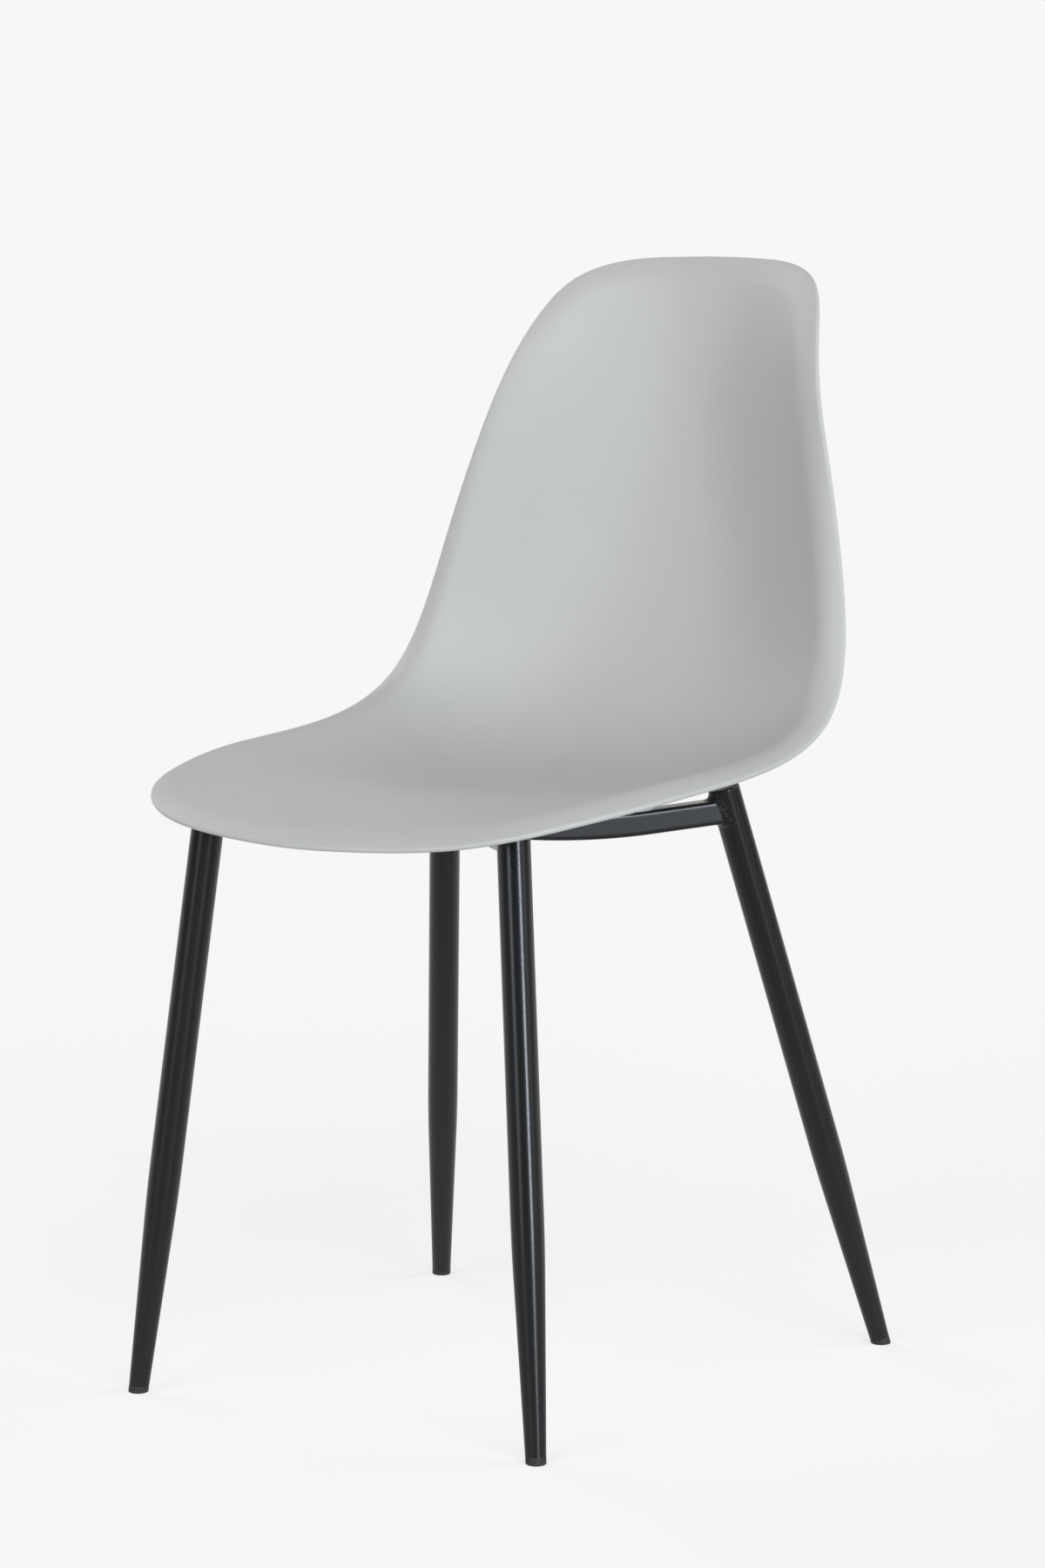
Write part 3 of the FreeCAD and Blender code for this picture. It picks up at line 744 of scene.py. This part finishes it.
@dataclass
class Leg:
    """One tapered leg with its cap and glide."""

    name: str
    side: Side
    foot: Point
    guide: Point
    top_z: float
    guide_z: float = 375.0
    radius: float = 12.5
    wall: float = 1.5
    foot_radius: float = 7.8
    taper_end: float = 160.0
    cap_thickness: float = 2.5
    cap_edge: float = 1.6
    plug_depth: float = 4.0
    plug_clearance: float = 0.05
    taper_blend: float = 24.0
    taper_steps: int = 6
    glide_height: float = 5.5
    glide_edge: float = 1.2
    stem_length: float = 14.0

    def __post_init__(self) -> None:
        """Work out the axis."""
        sign = self.side.value
        self.start = Vector((sign * self.foot[0], self.foot[1], 0.0))
        over = Vector((sign * self.guide[0], self.guide[1], self.guide_z))
        self.axis = (over - self.start).normalized()
        self.length = self.top_z / self.axis.z

    def at(self, z: float) -> Vector:
        """Point of the axis at a height."""
        return self.start + self.axis * (z / self.axis.z)

    def placed(self, mesh: BMesh) -> BMesh:
        """Move a form made along Z onto the leg's axis."""
        turn = UP.rotation_difference(self.axis).to_matrix().to_4x4()
        bmesh.ops.transform(mesh, matrix=Matrix.Translation(self.start) @ turn, verts=mesh.verts)
        return mesh

    def node(self, kind: str) -> str:
        """Name of one of the leg's CAD nodes."""
        return f"{kind}_{self.name}_{self.side.word}"

    def tube(self) -> BMesh:
        """Tapered tube; the taper runs into the straight part without a corner."""
        top = self.length - self.cap_thickness
        blend = self.taper_blend
        slope = (self.radius - self.foot_radius) / (self.taper_end - self.glide_height)
        low = self.taper_end - blend
        outside = [(self.foot_radius, self.glide_height)]
        for i in range(self.taper_steps + 1):
            past = 2 * blend * i / self.taper_steps
            drop = slope * (2 * blend - past) ** 2 / (4 * blend)
            outside.append((self.radius - drop, low + past))
        outside.append((self.radius, top))
        inside = [(r - self.wall, h) for r, h in reversed(outside)]
        return self.placed(spun(outside + inside, closed=True))

    def cap(self) -> BMesh:
        """Cap with a rounded edge and a plug in the tube."""
        low = self.length - self.cap_thickness
        high = self.length
        plug = self.radius - self.wall - self.plug_clearance
        edge = rounded((self.radius - self.cap_edge, high - self.cap_edge), self.cap_edge, 0, 90)
        profile = [(0.0, low - self.plug_depth), (plug, low - self.plug_depth), (plug, low),
                   (self.radius, low), *edge, (0.0, high)]
        return self.placed(spun(profile))

    def glide(self) -> BMesh:
        """Glide: a stem up the tube and a collar cut flat and rounded at the floor."""
        stem = self.foot_radius - self.wall - self.plug_clearance
        top = self.glide_height + self.stem_length
        edge = rounded((self.foot_radius - self.glide_edge, self.glide_edge), self.glide_edge, -90, 0)
        profile = [(0.0, 0.0), *edge, (self.foot_radius, self.glide_height),
                   (stem, self.glide_height), (stem, top), (0.0, top)]
        mesh = self.placed(spun(profile))
        for vert in mesh.verts:
            along = (vert.co - self.start).dot(self.axis)
            share = max(0.0, 1.0 - along / self.glide_height)
            off = vert.co - self.start - self.axis * along
            vert.co -= self.axis * (off.z / self.axis.z * share)
        return mesh

    def build(self, finishes: Finishes) -> None:
        """Build and dress the leg's pieces.

        Args:
            finishes: the finished materials.
        """
        pieces = ((self.tube(), "tapered_leg", finishes.coat, Slot.FRAME, "leg"),
                  (self.cap(), "rounded_cap", finishes.coat, Slot.FRAME, "leg_cap"),
                  (self.glide(), "nylon_glide", finishes.glide, Slot.GLIDE, "foot_glide"))
        for mesh, name, material, slot, node in pieces:
            finish_piece(mesh, self.node(name), material, [self.node(node)])


@dataclass
class Rail:
    """Bent square rail from a rear leg to the front leg across the chair."""

    rear: Leg
    front: Leg
    height: float = 19.0
    width: float = 19.0
    wall: float = 1.5
    corner: float = 2.5
    rear_z: float = 441.5
    front_z: float = 453.5
    rear_slope: float = 0.104
    front_slope: float = 0.080
    bend_radius: float = 550.0
    rear_fixing: float = 72.0
    front_fixing: float = 62.0
    bolt_hole: float = 3.3
    access_hole: float = 7.0
    clearance: float = 0.02

    def __post_init__(self) -> None:
        """Work out the route of the rail's middle line."""
        start, end = self.rear.at(self.rear_z), self.front.at(self.front_z)
        flat = Vector((end.x - start.x, end.y - start.y, 0.0))
        self.start = Vector((start.x, start.y, 0.0))
        self.span = flat.length
        self.level = flat.normalized()
        self.across = self.level.cross(UP)
        self.rear_angle = math.atan(self.rear_slope)
        self.front_angle = math.atan(self.front_slope)
        rise = self.rear_z - self.front_z + self.front_slope * self.span
        knee = rise / (self.rear_slope + self.front_slope)
        knee_z = self.rear_z - self.rear_slope * knee
        reach = self.bend_radius * math.tan((self.rear_angle + self.front_angle) / 2)
        self.bend_start = knee - reach * math.cos(self.rear_angle)
        self.bend_end = knee + reach * math.cos(self.front_angle)
        self.lowest = self.bend_start + self.bend_radius * math.sin(self.rear_angle)
        self.bend_centre_z = (knee_z + reach * math.sin(self.rear_angle)
                              + self.bend_radius * math.cos(self.rear_angle))

    def point(self, along: float, z: float) -> Vector:
        """Point in the upright plane of the rail."""
        return self.start + self.level * along + UP * z

    def up(self, at_rear: bool) -> Vector:
        """Direction at a right angle to the straight part at one end."""
        angle = self.rear_angle if at_rear else -self.front_angle
        return self.level * math.sin(angle) + UP * math.cos(angle)

    def outward(self, at_rear: bool) -> Vector:
        """Direction along the rail, away from the leg at one end."""
        up = self.up(at_rear)
        way = self.level if at_rear else -self.level
        return (way - up * way.dot(up)).normalized()

    def joint(self, at_rear: bool) -> Vector:
        """Point of the middle line on the leg's axis."""
        return self.point(0.0, self.rear_z) if at_rear else self.point(self.span, self.front_z)

    def leg(self, at_rear: bool) -> Leg:
        """The leg at one end."""
        return self.rear if at_rear else self.front

    def fixing(self, at_rear: bool) -> Vector:
        """Point on the middle line where the seat is bolted on."""
        if at_rear:
            return self.point(self.rear_fixing, self.rear_z - self.rear_slope * self.rear_fixing)
        return self.point(self.span - self.front_fixing, self.front_z - self.front_slope * self.front_fixing)

    def outline(self, start: Vector, up: Vector, across: Vector, sides: float = 0.0, above: float = 0.0,
                below: float = 0.0) -> BMesh:
        """Outline of the rail's section, as a single face.

        Args:
            start: middle of the outline.
            up: direction of the section's height.
            across: direction of its width.
            sides: how far the outline stands off the rail's sides.
            above: how far it stands off the rail's top.
            below: how far it stands off the rail's bottom.

        Returns:
            A mesh with one face.
        """
        mesh = bmesh.new()
        bmesh.ops.create_circle(mesh, cap_ends=True, radius=math.sqrt(0.5), segments=4)
        bmesh.ops.rotate(mesh, cent=(0, 0, 0), matrix=Matrix.Rotation(math.radians(45), 3, "Z"),
                         verts=mesh.verts)
        bmesh.ops.scale(mesh, vec=(self.width, self.height, 1.0), verts=mesh.verts)
        bmesh.ops.bevel(mesh, geom=mesh.verts[:], offset=self.corner, offset_type="OFFSET", segments=6,
                        profile=0.5, affect="VERTICES", clamp_overlap=True, material=-1)
        flats = [edge for edge in mesh.edges if edge.calc_length() > self.corner]
        bmesh.ops.subdivide_edges(mesh, edges=flats, cuts=9)
        for vert in mesh.verts:
            off = above if vert.co.y > 0 else below
            vert.co.x *= 1 + 2 * sides / self.width
            vert.co.y *= 1 + 2 * off / self.height
        place = Matrix((across, up, across.cross(up))).transposed().to_4x4()
        bmesh.ops.transform(mesh, matrix=Matrix.Translation(start) @ place, verts=mesh.verts)
        return mesh

    def swept(self) -> BMesh:
        """The rail's skin between its two legs: straight, bent, straight, with coped ends."""
        lead = 2 * self.rear.radius
        start = self.point(lead, self.rear_z - self.rear_slope * lead)
        mesh = self.outline(start, self.up(True), self.across)
        ring = mesh.edges[:]
        bmesh.ops.delete(mesh, geom=mesh.faces[:], context="FACES_ONLY")
        first = self.point(self.bend_start, self.rear_z - self.rear_slope * self.bend_start)
        ring = self.pulled(mesh, ring, first - start)
        centre = self.point(self.lowest, self.bend_centre_z)
        turn = bmesh.ops.spin(mesh, geom=ring, cent=centre, axis=self.across, dvec=(0, 0, 0),
                              angle=self.rear_angle + self.front_angle, steps=14,
                              use_merge=False, use_normal_flip=False, use_duplicate=False)
        ring = [item for item in turn["geom_last"] if isinstance(item, BMEdge)]
        rest = self.span - lead - self.bend_end
        self.pulled(mesh, ring, self.level * rest + UP * (rest * self.front_slope))
        ends = [edge for edge in mesh.edges if edge.is_boundary]
        for vert in extruded(mesh, ends)[0]:
            at_rear = (vert.co - self.start).dot(self.level) < self.span / 2
            vert.co = self.to_leg(vert.co, at_rear, self.clearance)
        bmesh.ops.recalc_face_normals(mesh, faces=mesh.faces)
        return mesh

    @staticmethod
    def pulled(mesh: BMesh, ring: list, way: Vector, steps: int = 8) -> list:
        """Extrude a ring of edges along a straight way.

        Args:
            mesh: mesh that holds the ring.
            ring: the ring's edges.
            way: the way to go.
            steps: number of steps.

        Returns:
            The edges of the last ring.
        """
        for _ in range(steps):
            verts, ring = extruded(mesh, ring)
            bmesh.ops.translate(mesh, vec=way / steps, verts=verts)
        return ring

    def to_leg(self, point: Vector, at_rear: bool, gap: float) -> Vector:
        """Slide a point along the rail until it stands on the leg's round side.

        Args:
            point: point to slide.
            at_rear: which leg it slides to.
            gap: how far it stays off the leg.

        Returns:
            The point on the leg, or beside the leg's widest part where it would miss the leg.
        """
        leg = self.leg(at_rear)
        way = self.outward(at_rear)
        off = point - leg.start
        side = off - leg.axis * off.dot(leg.axis)
        run = way - leg.axis * way.dot(leg.axis)
        square = run.length_squared
        half = side.dot(run)
        miss = side.length_squared - half * half / square
        reach = max(0.0, (leg.radius + gap) ** 2 - miss)
        return point + way * (-half / square + math.sqrt(reach / square))

    def hollow(self, mesh: BMesh) -> BMesh:
        """Give the rail's skin its wall and bore the bolt holes over their access holes."""
        bmesh.ops.solidify(mesh, geom=mesh.faces[:], thickness=self.wall)
        bmesh.ops.recalc_face_normals(mesh, faces=mesh.faces)
        profile = [(0.0, -self.height), (self.access_hole, -self.height), (self.access_hole, 0.0),
                   (self.bolt_hole, 0.0), (self.bolt_hole, self.height), (0.0, self.height)]
        cutters = joined(self.fixed(spun(profile, 40), at_rear) for at_rear in (True, False))
        return bored(mesh, cutters)

    def half(self, other: "Rail", at_rear: bool) -> BMesh:
        """The part of the rail on one side of the rail that it meets.

        Args:
            other: the rail that runs through.
            at_rear: whether to keep the rear part.

        Returns:
            The hollow half rail, cut flat where it meets the other rail.
        """
        mesh = self.swept()
        leg = self.leg(at_rear)
        facing = 1 if (leg.at(self.rear_z) - other.start).dot(other.across) > 0 else -1
        side = other.across * facing
        cut = other.start + side * (other.width / 2 + self.clearance)
        bmesh.ops.bisect_plane(mesh, geom=mesh.verts[:] + mesh.edges[:] + mesh.faces[:], dist=1e-4,
                               plane_co=cut, plane_no=side, clear_inner=True, clear_outer=False)
        return self.hollow(mesh)

    def bead(self, at_rear: bool, above: float, below: float, sides: float) -> BMesh:
        """Hollow-faced weld bead round one end.

        Args:
            at_rear: which end.
            above: height of the bead over the rail.
            below: its height under the rail.
            sides: its height beside the rail.

        Returns:
            The closed bead.
        """
        steps = 8
        up, way = self.up(at_rear), self.outward(at_rear)
        across = way.cross(up)
        start = self.joint(at_rear) + way * (2 * self.rear.radius)
        shapes = []
        for i in range(steps + 1):
            angle = math.radians(90 * i / steps)
            shapes.append((1 - math.cos(angle), 1 - math.sin(angle)))
        shapes.append((0.0, 0.0))
        mesh = self.outline(start, up, across)
        ring = mesh.edges[:]
        bmesh.ops.delete(mesh, geom=mesh.faces[:], context="FACES_ONLY")
        order = mesh.verts.layers.int.new("order")
        for i, vert in enumerate(mesh.verts):
            vert[order] = i
        verts = mesh.verts[:]
        for i, (rise, back) in enumerate(shapes):
            if i:
                verts, ring = extruded(mesh, ring)
            shaped = self.outline(start, up, across, sides * rise, above * rise, below * rise)
            shaped.verts.ensure_lookup_table()
            for vert in verts:
                point = shaped.verts[vert[order]].co
                high = (point - start).dot(up)
                reach = above if high > 0 else below
                tall = min(1.0, abs(high) / (self.height / 2))
                reach = sides + (reach - sides) * tall ** 4
                vert.co = self.to_leg(point, at_rear, self.clearance) + way * (reach * back)
            shaped.free()
        loops = [edge for edge in mesh.edges if edge.is_boundary]
        bmesh.ops.bridge_loops(mesh, edges=loops)
        bmesh.ops.recalc_face_normals(mesh, faces=mesh.faces)
        return mesh

    def fixed(self, mesh: BMesh, at_rear: bool) -> BMesh:
        """Move a form made along Z onto a fixing."""
        turn = UP.rotation_difference(self.up(at_rear)).to_matrix().to_4x4()
        place = Matrix.Translation(self.fixing(at_rear))
        bmesh.ops.transform(mesh, matrix=place @ turn, verts=mesh.verts)
        return mesh


@dataclass
class RailCross:
    """The two crossed rails: one runs through, the other is cut in two and welded to it."""

    through: Rail
    cut: Rail
    seam_leg: float = 4.0
    seam_hollow: float = 0.36
    seam_height: float = 14.0
    seam_steps: int = 42
    seam_sides: int = 8
    seam_end: float = 0.6
    ripple_pitch: float = 2.0
    ripple_share: float = 0.05
    # Height of the weld beads above, below and beside the rail
    rear_bead: tuple[float, float, float] = (6.5, 4.0, 2.4)
    front_bead: tuple[float, float, float] = (3.4, 3.4, 1.6)

    def seams(self) -> BMesh:
        """Four upright weld seams in the corners where the rails cross."""
        one = self.through.level
        other = Vector((-one.x, one.y, 0.0))
        side, other_side = UP.cross(one), UP.cross(other)
        offset = self.through.width / 2 + self.through.clearance
        along = -self.through.start.x / one.x
        off = along - self.through.lowest
        z = self.through.bend_centre_z - math.sqrt(self.through.bend_radius ** 2 - off ** 2)
        low = self.through.point(along, z - self.seam_height / 2)
        seams = []
        for a, b in ((1, 1), (1, -1), (-1, 1), (-1, -1)):
            way_one = one * (a * offset / one.dot(other_side))
            way_other = other * (b * offset / other.dot(side))
            corner = low + way_one + way_other
            first = way_one.normalized() * self.seam_leg
            last = way_other.normalized() * self.seam_leg
            pull = (first + last) * (2 * self.seam_hollow - 0.5)
            outline = [Vector()]
            for i in range(self.seam_sides + 1):
                t = i / self.seam_sides
                outline.append(first * (1 - t) ** 2 + pull * (2 * t * (1 - t)) + last * t ** 2)
            mesh = bmesh.new()
            face = mesh.faces.new([mesh.verts.new(corner + way) for way in outline])
            for step in range(1, self.seam_steps + 1):
                grown = bmesh.ops.extrude_face_region(mesh, geom=[face])["geom"]
                verts = [item for item in grown if isinstance(item, BMVert)]
                face = next(item for item in grown if isinstance(item, bmesh.types.BMFace))
                bmesh.ops.translate(mesh, vec=UP * (self.seam_height / self.seam_steps), verts=verts)
            bmesh.ops.recalc_face_normals(mesh, faces=mesh.faces)
            for vert in mesh.verts:
                rise = vert.co.z - corner.z
                end = min(1.0, rise / self.seam_leg, (self.seam_height - rise) / self.seam_leg)
                ripple = self.ripple_share * (1 + math.cos(math.tau * rise / self.ripple_pitch))
                size = (1 - ripple) * (self.seam_end + (1 - self.seam_end) * math.sqrt(max(0.0, end)))
                vert.co.xy = corner.xy + (vert.co.xy - corner.xy) * size
            seams.append(mesh)
        return joined(seams)

    def build(self, finishes: Finishes) -> None:
        """Build and dress the rails and their welds.

        Args:
            finishes: the finished materials.
        """
        pieces = (("through_rail", self.through.hollow(self.through.swept()), "cross_rail_through"),
                  ("rail_rear_half", self.cut.half(self.through, True), "cross_rail_rear_half"),
                  ("rail_front_half", self.cut.half(self.through, False), "cross_rail_front_half"))
        for name, mesh, node in pieces:
            finish_piece(mesh, name, finishes.coat, [node])
        for rail in (self.through, self.cut):
            for at_rear, bead in ((True, self.rear_bead), (False, self.front_bead)):
                leg = rail.leg(at_rear)
                finish_piece(rail.bead(at_rear, *bead), leg.node("weld_bead"), finishes.weld,
                             [leg.node("weld")], 60.0)
        finish_piece(self.seams(), "crossing_welds", finishes.weld, ["cross_welds"], 180.0)


@dataclass
class SeatFixings:
    """Bolts, washers and inserts that hold the shell on the rails."""

    rails: tuple[Rail, Rail]
    bolt_radius: float = 3.0
    bolt_length: float = 12.0
    head_radius: float = 5.25
    head_height: float = 3.3
    head_edge: float = 1.4
    socket_across: float = 4.0
    socket_depth: float = 2.0
    flat_share: float = 0.62
    end_chamfer: float = 0.5
    washer_radius: float = 6.25
    washer_thickness: float = 1.6
    washer_edge: float = 0.3
    washer_bore: float = 3.3

    def bolt(self) -> BMesh:
        """Button head bolt with a hexagon socket, along Z with its head below."""
        under = self.rails[0].height / 2 - self.rails[0].wall - self.washer_thickness
        low = under - self.head_height
        edge = rounded((self.head_radius - self.head_edge, low + self.head_edge), self.head_edge, -90, 0)
        end = under + self.bolt_length
        profile = [(self.flat_share * self.head_radius, low), *edge, (self.head_radius, under),
                   (self.bolt_radius, under), (self.bolt_radius, end - self.end_chamfer),
                   (self.bolt_radius - self.end_chamfer, end), (0.0, end)]
        mesh = spun(profile, 36)
        socket = bmesh.ops.create_circle(mesh, cap_ends=False, segments=6,
                                         radius=self.socket_across / math.sqrt(3),
                                         matrix=Matrix.Translation((0.0, 0.0, low)))
        hexagon = list({edge for vert in socket["verts"] for edge in vert.link_edges})
        circle = [edge for edge in mesh.edges if edge.is_boundary and edge not in hexagon]
        bmesh.ops.bridge_loops(mesh, edges=hexagon + circle)
        verts, bottom = extruded(mesh, hexagon)
        bmesh.ops.translate(mesh, vec=(0.0, 0.0, self.socket_depth), verts=verts)
        bmesh.ops.contextual_create(mesh, geom=bottom)
        bmesh.ops.recalc_face_normals(mesh, faces=mesh.faces)
        return mesh

    def washer(self) -> BMesh:
        """Flat washer with slightly rounded rims."""
        high = self.rails[0].height / 2 - self.rails[0].wall
        low = high - self.washer_thickness
        outer, bore, edge = self.washer_radius, self.washer_bore, self.washer_edge
        profile = [(bore, low), *rounded((outer - edge, low + edge), edge, -90, 0, 3),
                   *rounded((outer - edge, high - edge), edge, 0, 90, 3), (bore, high)]
        return spun(profile, 48, closed=True)

    def all_fixed(self, make: Callable[[], BMesh]) -> BMesh:
        """Put one form on each of the four fixings."""
        return joined(rail.fixed(make(), at_rear) for rail in self.rails for at_rear in (True, False))

    def build(self, finishes: Finishes) -> None:
        """Build and dress the fixings.

        Args:
            finishes: the finished materials.
        """
        for make, name, node in ((self.bolt, "button_head_bolts", "seat_bolts"),
                                 (self.washer, "flat_washers", "seat_washers")):
            finish_piece(self.all_fixed(make), name, finishes.plated, [node])
        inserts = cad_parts["seat_inserts"]
        inserts.data.materials.clear()
        inserts.data.materials.append(finishes.brass)


@dataclass(frozen=True)
class Softbox:
    """One soft studio lamp, far enough away to light chair and floor evenly.

    Azimuth and elevation are those of a camera that stands there, width is its angle as
    the chair sees it, and strength the light it throws square on, where pi is plain white.
    """

    name: str
    azimuth: float
    elevation: float
    width: float
    strength: float
    colour: str = "ffffff"


@dataclass
class Studio:
    """Floor, background, lamps and camera."""

    azimuth: float = 33.66
    elevation: float = 7.45
    roll: float = 0.142
    target: tuple[float, float, float] = (0.1, 7.1, 461.3)
    distance: float = 3766.0
    lens: float = 110.0
    sensor: float = 36.0
    paper: str = "f7f7f7"
    fill: float = 0.06
    floor_size: float = 40000.0
    floor_shade: float = 0.8
    floor_shadow: float = 0.3
    # Where shiny parts see the paper begin and be full: by direction, and on the floor in metres
    paper_fade: Point = (0.2, 1.0)
    floor_fade: Point = (-1.0, 1.0)
    floor_dark: float = 0.2
    lamp_distance: float = 3000.0
    softboxes: tuple[Softbox, ...] = (
        Softbox("key_right", 52.0, 36.0, 40.0, 1.2),
        Softbox("strip_right", 66.0, 3.5, 9.0, 0.9, "e9f3ff"),
        Softbox("window_left", -4.0, 33.0, 44.0, 0.95, "fffaf4"),
        Softbox("strip_left", -5.0, 8.0, 15.0, 0.4, "e9f3ff"),
        Softbox("side_right", 98.0, 14.0, 28.0, 0.3),
        Softbox("back_left", -100.0, 28.0, 40.0, 0.85),
        Softbox("back_right", 130.0, 28.0, 40.0, 0.9),
    )

    @staticmethod
    def back(azimuth: float, elevation: float) -> Vector:
        """Direction from the chair towards a place in the studio."""
        a, e = math.radians(azimuth), math.radians(elevation)
        return Vector((math.sin(a) * math.cos(e), -math.cos(a) * math.cos(e), math.sin(e)))

    def camera(self) -> None:
        """Set up the camera at the photograph's viewing angle."""
        data = bpy.data.cameras.new("camera")
        data.lens = self.lens
        data.sensor_width = self.sensor
        data.clip_end = 100.0
        camera = in_scene("camera", data)
        back = self.back(self.azimuth, self.elevation)
        camera.location = (Vector(self.target) + back * self.distance) * MM
        camera.rotation_mode = "QUATERNION"
        turn = (-back).to_track_quat("-Z", "Y").to_matrix().to_4x4()
        turn = turn @ Matrix.Rotation(math.radians(self.roll), 4, "Z")
        camera.rotation_quaternion = turn.to_quaternion()
        bpy.context.scene.camera = camera

    @staticmethod
    def seen(tree: NodeTree) -> Socket:
        """1 for rays that show the background as it is: camera, glossy and transmission rays."""
        path = add_node(tree, "ShaderNodeLightPath")
        first = add_node(tree, "ShaderNodeMath", {"operation": "MAXIMUM"}, {
            0: path.outputs["Is Camera Ray"], 1: path.outputs["Is Glossy Ray"]})
        return add_node(tree, "ShaderNodeMath", {"operation": "MAXIMUM"}, {
            0: first.outputs["Value"], 1: path.outputs["Is Transmission Ray"]}).outputs["Value"]

    @staticmethod
    def between(tree: NodeTree, factor: Socket, first: SocketValue, second: SocketValue) -> Socket:
        """Value between two values, the second one where the factor is 1."""
        return add_node(tree, "ShaderNodeMix", {"data_type": "FLOAT"}, {
            "Factor": factor, "A": first, "B": second}).outputs["Result"]

    def paper_light(self, tree: NodeTree, place: Socket, fade: Point, dark: float, light: float) -> Socket:
        """Light of the white paper behind the chair, where it is seen.

        The camera sees it plain. Shiny parts see the dark half of the studio in front.

        Args:
            tree: node tree of the world or of the floor.
            place: direction or place that is looked at.
            fade: how far behind the chair the paper begins and is full.
            dark: light in front.
            light: light of the full paper.

        Returns:
            The light as a value.
        """
        camera = add_node(tree, "ShaderNodeLightPath").outputs["Is Camera Ray"]
        behind = add_node(tree, "ShaderNodeVectorMath", {"operation": "DOT_PRODUCT"}, {
            0: place, 1: tuple(-self.back(self.azimuth, 0.0))})
        mirrored = add_node(tree, "ShaderNodeMapRange", {"interpolation_type": "SMOOTHSTEP"}, {
            "Value": behind.outputs["Value"], "From Min": fade[0], "From Max": fade[1],
            "To Min": dark, "To Max": light})
        return self.between(tree, camera, mirrored.outputs["Result"], light)

    def world(self) -> None:
        """Set the background: paper white where it is seen, a plain fill where it lights."""
        world = bpy.data.worlds.new("studio")
        world.use_nodes = True
        tree = world.node_tree
        tree.nodes.clear()
        way = add_node(tree, "ShaderNodeTexCoord").outputs["Generated"]
        shown = self.paper_light(tree, way, self.paper_fade, self.fill, linear(self.paper)[0])
        light = add_node(tree, "ShaderNodeBackground", {}, {
            "Color": (1, 1, 1, 1), "Strength": self.between(tree, self.seen(tree), self.fill, shown)})
        add_node(tree, "ShaderNodeOutputWorld", {}, {"Surface": light.outputs["Background"]})
        bpy.context.scene.world = world

    def floor(self) -> None:
        """Lay the pale floor, as white as the paper where nothing shades it."""
        mesh = bmesh.new()
        bmesh.ops.create_grid(mesh, x_segments=1, y_segments=1, size=self.floor_size / 2 * MM)
        floor = in_scene("floor", stored(mesh, "floor"))
        recipe = Recipe("pale_floor")
        tree = recipe.tree
        seen = self.seen(tree)
        light = math.pi * self.fill
        for box in self.softboxes:
            light += box.strength * math.sin(math.radians(box.elevation))
        rest = linear(self.paper)[0] - self.floor_shadow * light / math.pi
        matte = add_node(tree, "ShaderNodeBsdfDiffuse", {}, {
            "Color": self.between(tree, seen, self.floor_shade, self.floor_shadow)})
        shown = self.paper_light(tree, recipe.place, self.floor_fade, self.floor_dark, rest)
        glow = add_node(tree, "ShaderNodeEmission", {}, {
            "Color": (1, 1, 1, 1), "Strength": self.between(tree, seen, 0.0, shown)})
        both = add_node(tree, "ShaderNodeAddShader", {}, {
            0: matte.outputs["BSDF"], 1: glow.outputs["Emission"]})
        tree.links.new(both.outputs["Shader"], recipe.output.inputs["Surface"])
        floor.data.materials.append(recipe.material)

    def lamps(self) -> None:
        """Hang the soft lamps."""
        for box in self.softboxes:
            data = bpy.data.lights.new(box.name, "SUN")
            data.energy = box.strength
            data.color = linear(box.colour)[:3]
            data.angle = math.radians(box.width)
            lamp = in_scene(box.name, data)
            back = self.back(box.azimuth, box.elevation)
            lamp.location = (Vector(self.target) + back * self.lamp_distance) * MM
            lamp.rotation_mode = "QUATERNION"
            lamp.rotation_quaternion = (-back).to_track_quat("-Z", "Y")

    def build(self) -> None:
        """Set up the whole studio."""
        self.floor()
        self.world()
        self.lamps()
        self.camera()
        bpy.context.scene.view_settings.view_transform = "Standard"


def main() -> None:
    """Build the chair, the floor, the lights and the camera."""
    finishes = Finishes.make()
    legs = {}
    for side in Side:
        legs["rear", side] = Leg("rear", side, foot=(216.0, 208.0), guide=(148.0, 114.0), top_z=460.0)
        legs["front", side] = Leg("front", side, foot=(185.0, -250.5), guide=(147.6, -220.5), top_z=464.0)
    for leg in legs.values():
        leg.build(finishes)
    through = Rail(legs["rear", Side.RIGHT], legs["front", Side.LEFT])
    cut = Rail(legs["rear", Side.LEFT], legs["front", Side.RIGHT])
    RailCross(through, cut).build(finishes)
    SeatFixings((through, cut)).build(finishes)
    shell = SeatShell()
    feet = [(rail.fixing(at_rear) + rail.up(at_rear) * (rail.height / 2), rail.up(at_rear))
            for rail in (through, cut) for at_rear in (True, False)]
    bosses = [shell.boss(foot, up) for foot, up in feet]
    moulded = joined([shell.wall(), *bosses])
    finish_piece(moulded, "moulded_shell", finishes.shell, ["seat_shell"], 60.0)
    Studio().build()


if __name__ == "__main__":
    logging.basicConfig(level=logging.INFO, format="%(name)s: %(message)s")
    main()
